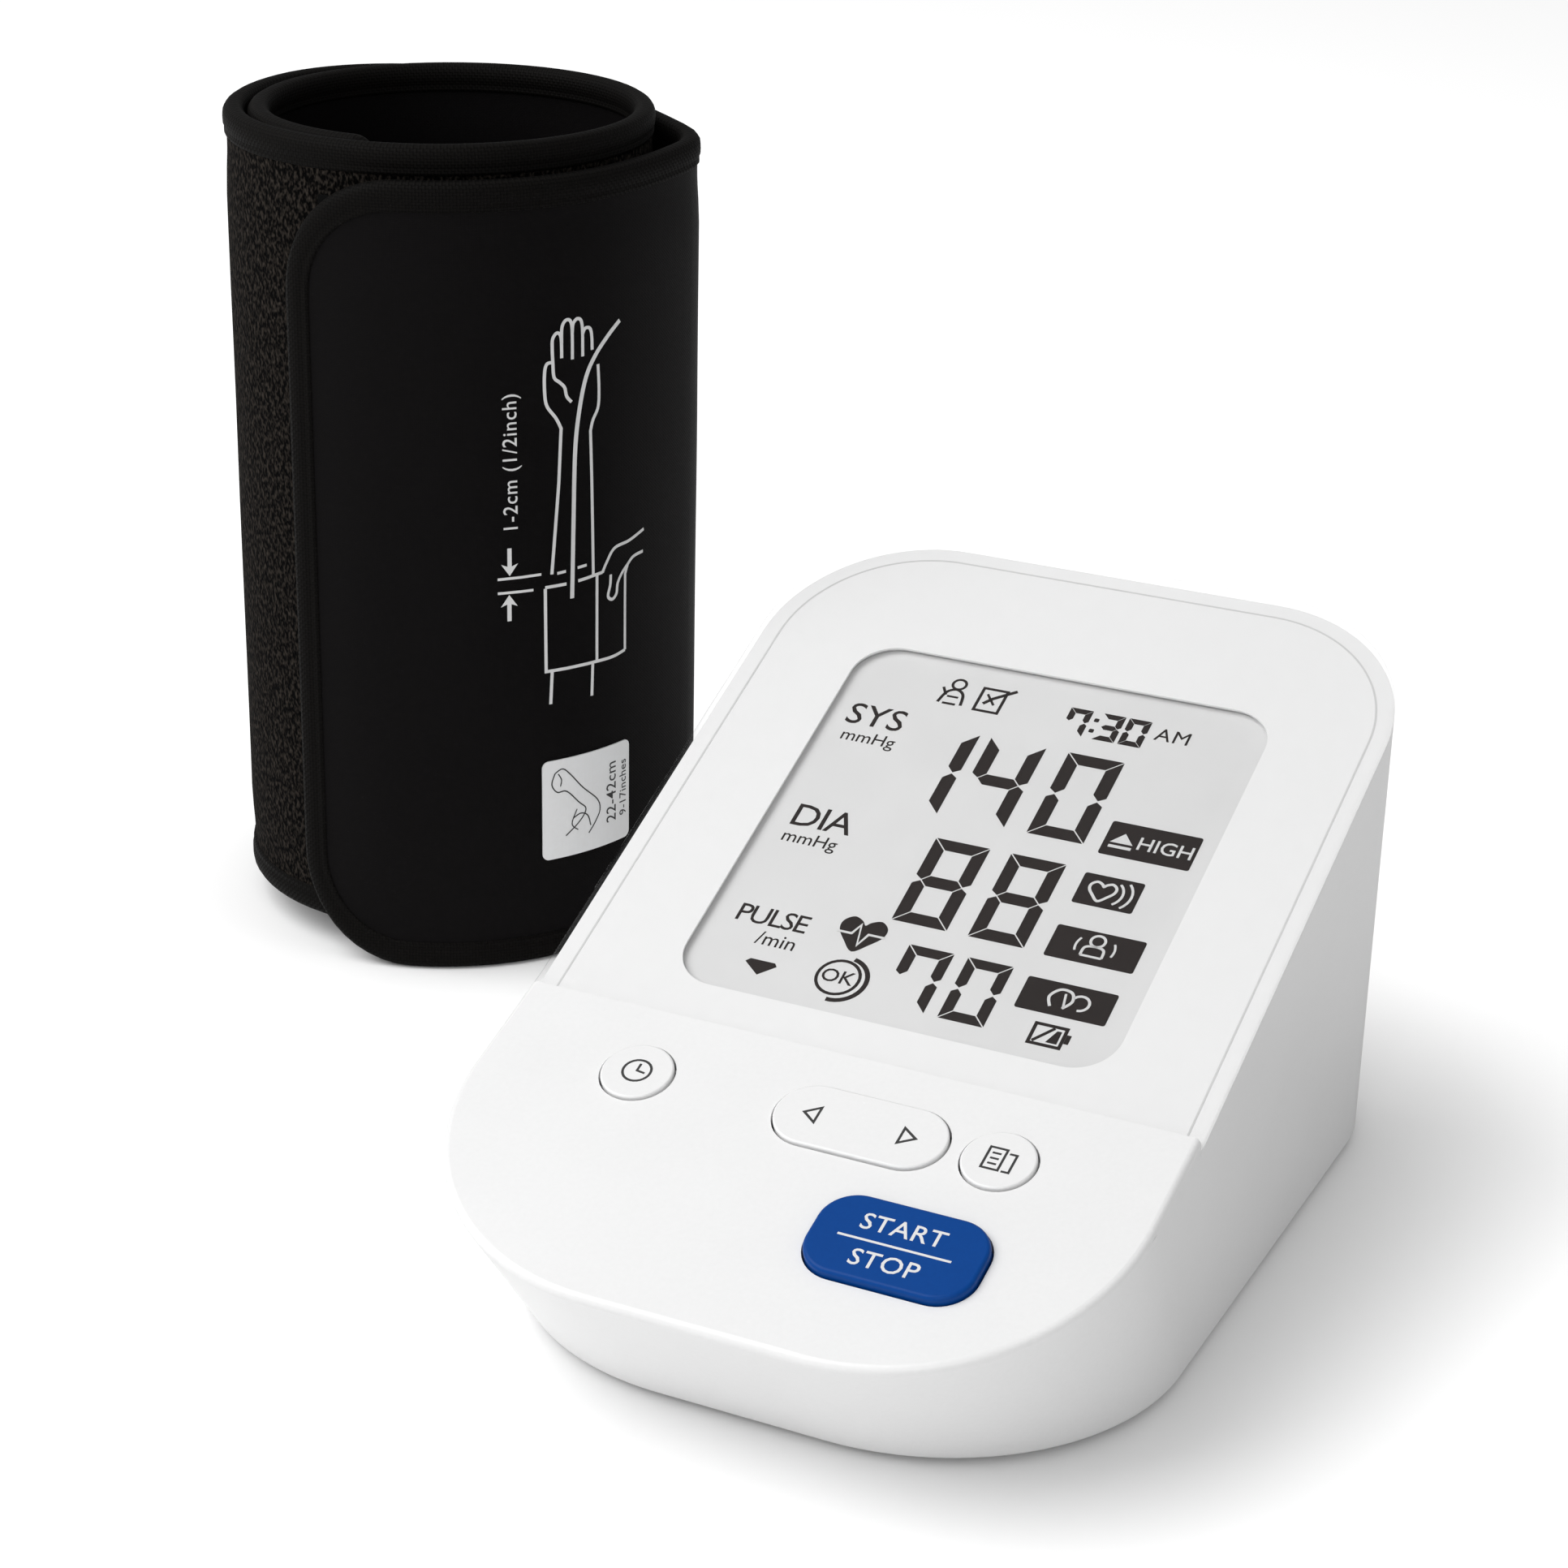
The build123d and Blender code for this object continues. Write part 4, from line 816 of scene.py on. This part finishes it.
def mapped_grid(columns, rows, place):
    """Mesh made from a grid whose corners are moved to their places and merged."""
    build = bmesh.new()
    bmesh.ops.create_grid(build, x_segments=columns - 1, y_segments=rows - 1, size=1.0)
    for vert in build.verts:
        column = round((vert.co.x + 1) / 2 * (columns - 1))
        row = round((vert.co.y + 1) / 2 * (rows - 1))
        vert.co = place(column, row)
    bmesh.ops.remove_doubles(build, verts=build.verts, dist=1e-4)
    return build


# ---- the cuff's cloth ----
# Smooth black nylon on the flap, dark looped pile from the back seam on, and a nylon
# lining on the inner side. The three are closed sheets, thin at the edges.

cloth_margin = 1.8
edge_steps = [cloth_margin, 4.4, 5.1, 5.7, 6.4, 7.4, 9.0, 11.5, 15.5]
levels = edge_steps + [22.0, 31.0, 41.0, 51.0, 61.0, 70.0]
levels += [strip_height - level for level in reversed(levels[:-1])]
seam_along = 137.0
column_step = 3.0
outer_back, inner_back = 0.82, -0.8


def cloth_sheet(name, first, last, outer, material, slot_name, replaced):
    """Closed cloth sheet on the strip's outer or inner side."""
    steps = list(edge_steps) if first == cloth_margin else [first]
    while steps[-1] < last - 1.4 * column_step:
        steps.append(steps[-1] + column_step)
    steps.append(last)
    half = len(levels)

    def place(column, row):
        along = steps[column]
        row = row % (2 * half)
        outside = row < half
        level = levels[row] if outside else levels[2 * half - 1 - row]
        low = cloth_margin
        if along < flap_corner:
            reach = flap_corner - low
            low = flap_corner - sqrt(max(reach**2 - (flap_corner - along) ** 2, 0))
        share = (level - cloth_margin) / (strip_height - 2 * cloth_margin)
        height = low + share * (strip_height - 2 * low)
        far = cloth_swell(along, height) * (1 if outer else -1)
        near = outer_back if outer else inner_back
        if column in (0, len(steps) - 1):
            return Vector((along, height, (far + near) / 2))
        return Vector((along, height, far if outside else near))

    build = mapped_grid(len(steps), 2 * half + 1, place)
    piece = lay_on_roll(name, build, material, slot_name, replaced)


def cloth_finish(name, dark, light, threads, depth, rough_low, rough_high):
    """Cloth whose threads follow the strip, with mottled colour."""
    material, tree = new_material(name)
    flat = add_node(tree, "ShaderNodeUVMap", {"uv_map": "strip"}).outputs["UV"]
    weave = grouped(tree, weave_group, flat, Threads=threads)
    mottle = grouped(tree, mottle_group, flat, Coarse=45.0, Fine=900.0)
    shade = math_node(tree, "MULTIPLY", math_node(tree, "ADD", weave, mottle), 0.5)
    surface = add_node(
        tree,
        "ShaderNodeBsdfPrincipled",
        Base_Color=ramp(tree, shade, dark, light, 0.35, 0.7),
        Roughness=rough(tree, mottle, rough_low, rough_high),
        Normal=bumped(tree, shade, depth),
        Specular_IOR_Level=0.05,
    )
    add_node(tree, "ShaderNodeOutputMaterial", Surface=surface.outputs["BSDF"])
    return material


nylon = cloth_finish(
    "black_nylon", (0.0020, 0.0017, 0.0018), (0.0048, 0.0042, 0.0044), 3200.0, 0.00004, 0.45, 0.6
)

loop_pile, tree = new_material("loop_pile")
flat = add_node(tree, "ShaderNodeUVMap", {"uv_map": "strip"}).outputs["UV"]
lean = add_node(
    tree, "ShaderNodeMapping", Vector=flat, Rotation=(0.0, 0.0, radians(35)), Scale=(1.0, 0.6, 1.0)
)
leaning = lean.outputs["Vector"]
tufts = add_node(
    tree, "ShaderNodeTexNoise", Vector=leaning, Scale=1500.0, Detail=1.0, Roughness=0.7
).outputs["Fac"]
surface = add_node(
    tree,
    "ShaderNodeBsdfPrincipled",
    Base_Color=ramp(tree, tufts, (0.0004, 0.0003, 0.0003), (0.036, 0.030, 0.025), 0.44, 0.74),
    Roughness=rough(tree, tufts, 0.85, 0.98),
    Normal=bumped(tree, tufts, 0.0005),
    Specular_IOR_Level=0.05,
)
add_node(tree, "ShaderNodeOutputMaterial", Surface=surface.outputs["BSDF"])

flap_end, inner_end = cloth_margin, strip_length - cloth_margin
for name, first, last, outer, material, slot_name, replaced in (
    ("cuff_flap", flap_end, seam_along, True, nylon, "black_nylon", ["cuff_flap_cloth"]),
    ("cuff_loops", seam_along, inner_end, True, loop_pile, "loop_fabric", ["cuff_loop_cloth"]),
    ("cuff_lining", flap_end, inner_end, False, nylon, "black_nylon", ["cuff_inner_cloth"]),
):
    cloth_sheet(name, first, last, outer, material, slot_name, replaced)

# ---- the cuff's edge binding ----
# A ribbed tape folded over the strip's whole edge and sewn through, with a groove where
# the seam pulls it in. It is thicker than the cloth that it holds.

# Half of the tape's section, as millimetres inward from the strip's edge and outward.
binding_section = [(0.0, 0.0), (0.12, 0.75), (0.5, 1.35), (1.2, 1.78), (2.2, 1.9), (3.1, 1.86)]
binding_section += [(3.6, 1.66), (3.95, 1.62), (4.3, 1.7), (4.7, 1.66), (5.0, 1.4), (5.05, 0.0)]
binding_section += [(inward, -out) for inward, out in reversed(binding_section[1:-1])]

corner_steps = 12
rim_path = []
for corner_x, corner_z, radius, first in (
    (flap_corner, flap_corner, flap_corner, 180),
    (strip_length - end_corner, end_corner, end_corner, 270),
    (strip_length - end_corner, strip_height - end_corner, end_corner, 0),
    (flap_corner, strip_height - flap_corner, flap_corner, 90),
):
    for step in range(corner_steps + 1):
        angle = radians(first + 90 * step / corner_steps)
        out_x, out_z = cos(angle), sin(angle)
        rim_path.append((corner_x + radius * out_x, corner_z + radius * out_z, out_x, out_z))
whole_path = []
for index, here in enumerate(rim_path):
    after = rim_path[(index + 1) % len(rim_path)]
    gap = sqrt((after[0] - here[0]) ** 2 + (after[1] - here[1]) ** 2)
    pieces = max(round(gap / column_step), 1)
    for step in range(pieces):
        share = step / pieces
        whole_path.append(tuple(a + (b - a) * share for a, b in zip(here, after)))


def binding_place(column, row):
    """Corner of the folded tape, some way round the strip and round its section."""
    x, z, out_x, out_z = whole_path[column % len(whole_path)]
    inward, out = binding_section[row % len(binding_section)]
    return Vector((x - out_x * inward, z - out_z * inward, out))


binding_build = mapped_grid(len(whole_path) + 1, len(binding_section) + 1, binding_place)
binding_tape = cloth_finish(
    "binding_tape", (0.0016, 0.0014, 0.0013), (0.0052, 0.0046, 0.0041), 1900.0, 0.00012, 0.55, 0.7
)
lay_on_roll("cuff_edge_binding", binding_build, binding_tape, "black_binding", ["cuff_binding"])

# ---- the hook patch under the flap ----
# Black hook tape sewn to the flap's inner side, which holds the roll shut on the loops.

hook_tape = solid_finish(
    "hook_tape", grey(0.002), grey(0.006), 0.8, 0.9,
    grain=3000.0, depth=0.0003, Specular_IOR_Level=0.05,
)
give("cuff_hook_patch", hook_tape)

# ---- what is printed on the flap ----
# White lines show a hand and forearm with the cuff on it, and the gap to leave above the
# elbow. A small white label below carries an arm and the range of arm sizes.


def on_flap(lift):
    """Map from the strip's millimetres, along, up and outward, to the flap's face."""
    return lambda x, y, z: on_roll(x, y, cloth_swell(x, y) + lift + z)


def curves(point_lists, thick):
    """Rounded lines of one thickness through a few points each."""
    shapes = []
    for points in point_lists:
        shapes += stroke(smooth(points), thick)
    return shapes


def lines(point_lists, thick):
    """Straight-edged lines of one thickness."""
    shapes = []
    for points in point_lists:
        shapes += stroke(points, thick)
    return shapes


flap_ink = solid_finish("flap_ink", grey(0.72), grey(0.78), 0.45, 0.55)
line_width = 0.55
hand = [
    [(46.9, 97.2), (45.9, 99.3), (44.3, 101.6), (43.9, 104.0), (43.9, 107.2), (44.3, 108.8),
     (45.3, 109.0)],
    [(45.4, 108.8), (45.3, 111.2), (45.4, 113.0), (46.2, 113.9), (46.9, 113.0), (47.0, 109.5)],
    [(47.0, 112.0), (47.1, 114.8), (48.0, 115.9), (48.9, 114.8), (49.0, 109.0)],
    [(49.0, 113.5), (49.2, 115.1), (50.1, 115.8), (50.9, 114.6), (51.0, 109.2)],
    [(51.0, 113.0), (51.5, 113.9), (52.4, 113.8), (52.8, 112.6), (52.9, 110.0)],
    [(45.4, 108.8), (45.6, 106.4), (46.6, 105.4), (47.5, 104.4), (47.9, 102.8), (48.8, 101.7)],
    [(54.1, 107.3), (54.3, 103.0), (54.1, 99.9), (53.0, 97.8), (52.5, 96.0)],
]
forearm = [
    [(46.8, 97.3), (46.3, 88.0), (44.9, 72.0)],
    [(52.5, 96.1), (52.7, 88.0), (53.0, 70.3)],
]
air_tube = [
    [(59.0, 113.9), (56.4, 111.9), (53.6, 109.0), (51.6, 105.4), (50.2, 99.5), (49.4, 92.6),
     (49.0, 80.0), (48.7, 67.0)],
]
worn_cuff = [
    [(43.7, 69.6), (43.8, 54.5), (53.8, 54.3), (53.8, 70.0)],
    [(43.7, 69.8), (47.6, 69.8)],
    [(49.9, 69.9), (55.0, 70.3)],
]
cuff_hem = [[(45.9, 72.0), (47.5, 72.1)], [(49.8, 72.3), (51.6, 72.4)]]
cuff_side = [[(53.8, 54.3), (57.5, 54.2), (60.5, 54.6)]]
upper_arm = [
    [(60.5, 54.6), (60.5, 68.6), (61.2, 70.2)],
    [(44.9, 54.3), (44.6, 48.4)],
    [(52.9, 54.2), (52.7, 48.2)],
]
other_hand = [
    [(65.6, 75.4), (61.5, 74.4), (57.8, 74.0), (55.9, 71.8), (55.0, 70.2)],
    [(65.4, 71.4), (62.8, 71.2), (61.2, 70.2), (59.6, 68.9), (58.6, 67.4), (58.3, 65.6),
     (57.3, 64.8), (56.3, 65.6), (56.8, 67.6), (56.9, 69.4)],
]
arm_lines = curves(hand, line_width) + lines(forearm, line_width) + curves(air_tube, 0.75)
arm_lines += lines(worn_cuff, line_width) + lines(cuff_hem, 0.5)
arm_lines += curves(cuff_side, line_width) + lines(upper_arm, line_width)
arm_lines += curves(other_hand, line_width)

gap_marks = lines([[(35.6, 72.2), (43.0, 72.3)], [(35.6, 69.7), (41.6, 69.7)]], 0.45)
gap_marks += lines([[(37.6, 77.6), (37.6, 73.8)]], 0.7)
gap_marks += polygon([(36.2, 74.8), (37.6, 72.7), (39.0, 74.8), (37.6, 74.2)])
gap_marks += lines([[(37.5, 64.6), (37.5, 68.2)]], 0.7)
gap_marks += polygon([(36.1, 67.2), (37.5, 69.3), (38.9, 67.2), (37.5, 67.8)])
gap_marks += lettering("1-2cm (1/2inch)", 2.5, 38.0, 92.4, turn=90, bold=0.012, spread=1.1)
print_piece(
    "flap_marks", arm_lines + gap_marks, on_flap(0.01), flap_ink, "cuff",
    longest=4.0, thick=0.06,
)

label_ground = solid_finish("label_ground", grey(0.82), (0.84, 0.85, 0.86), 0.3, 0.42)
label_shape = rounded(42.9, 19.2, 61.3, 37.8, 1.2)
print_piece(
    "size_label", label_shape, on_flap(0.02), label_ground, "cuff",
    longest=1.6, thick=0.25,
)
arm_outline = [
    [(45.2, 35.4), (46.6, 36.0), (48.0, 34.8), (50.6, 31.6), (53.6, 28.6), (54.2, 26.4),
     (53.2, 24.4), (51.8, 22.6)],
    [(45.2, 35.4), (44.6, 33.4), (45.6, 31.8), (47.4, 31.6), (49.8, 29.0), (51.2, 27.4),
     (50.0, 25.4), (47.2, 23.2)],
]
fist = [[(45.8, 35.2), (46.4, 34.0), (46.2, 32.8)]]
band = [[(48.6, 26.2), (50.2, 26.8), (51.6, 26.0), (52.2, 24.0)]]
band_edge = [[(49.4, 27.8), (48.4, 25.2), (49.6, 23.8)]]
label_marks = curves(arm_outline, 0.22) + curves(fist, 0.2)
label_marks += curves(band, 0.22) + curves(band_edge, 0.2)
label_marks += lettering("22-42cm", 2.3, 56.9, 29.0, turn=90, bold=0.006, spread=1.05)
label_marks += lettering("9-17inches", 1.7, 59.7, 29.0, turn=90, spread=1.05)
print_piece(
    "label_marks", label_marks, on_flap(0.28), key_ink, "cuff", longest=2.0
)
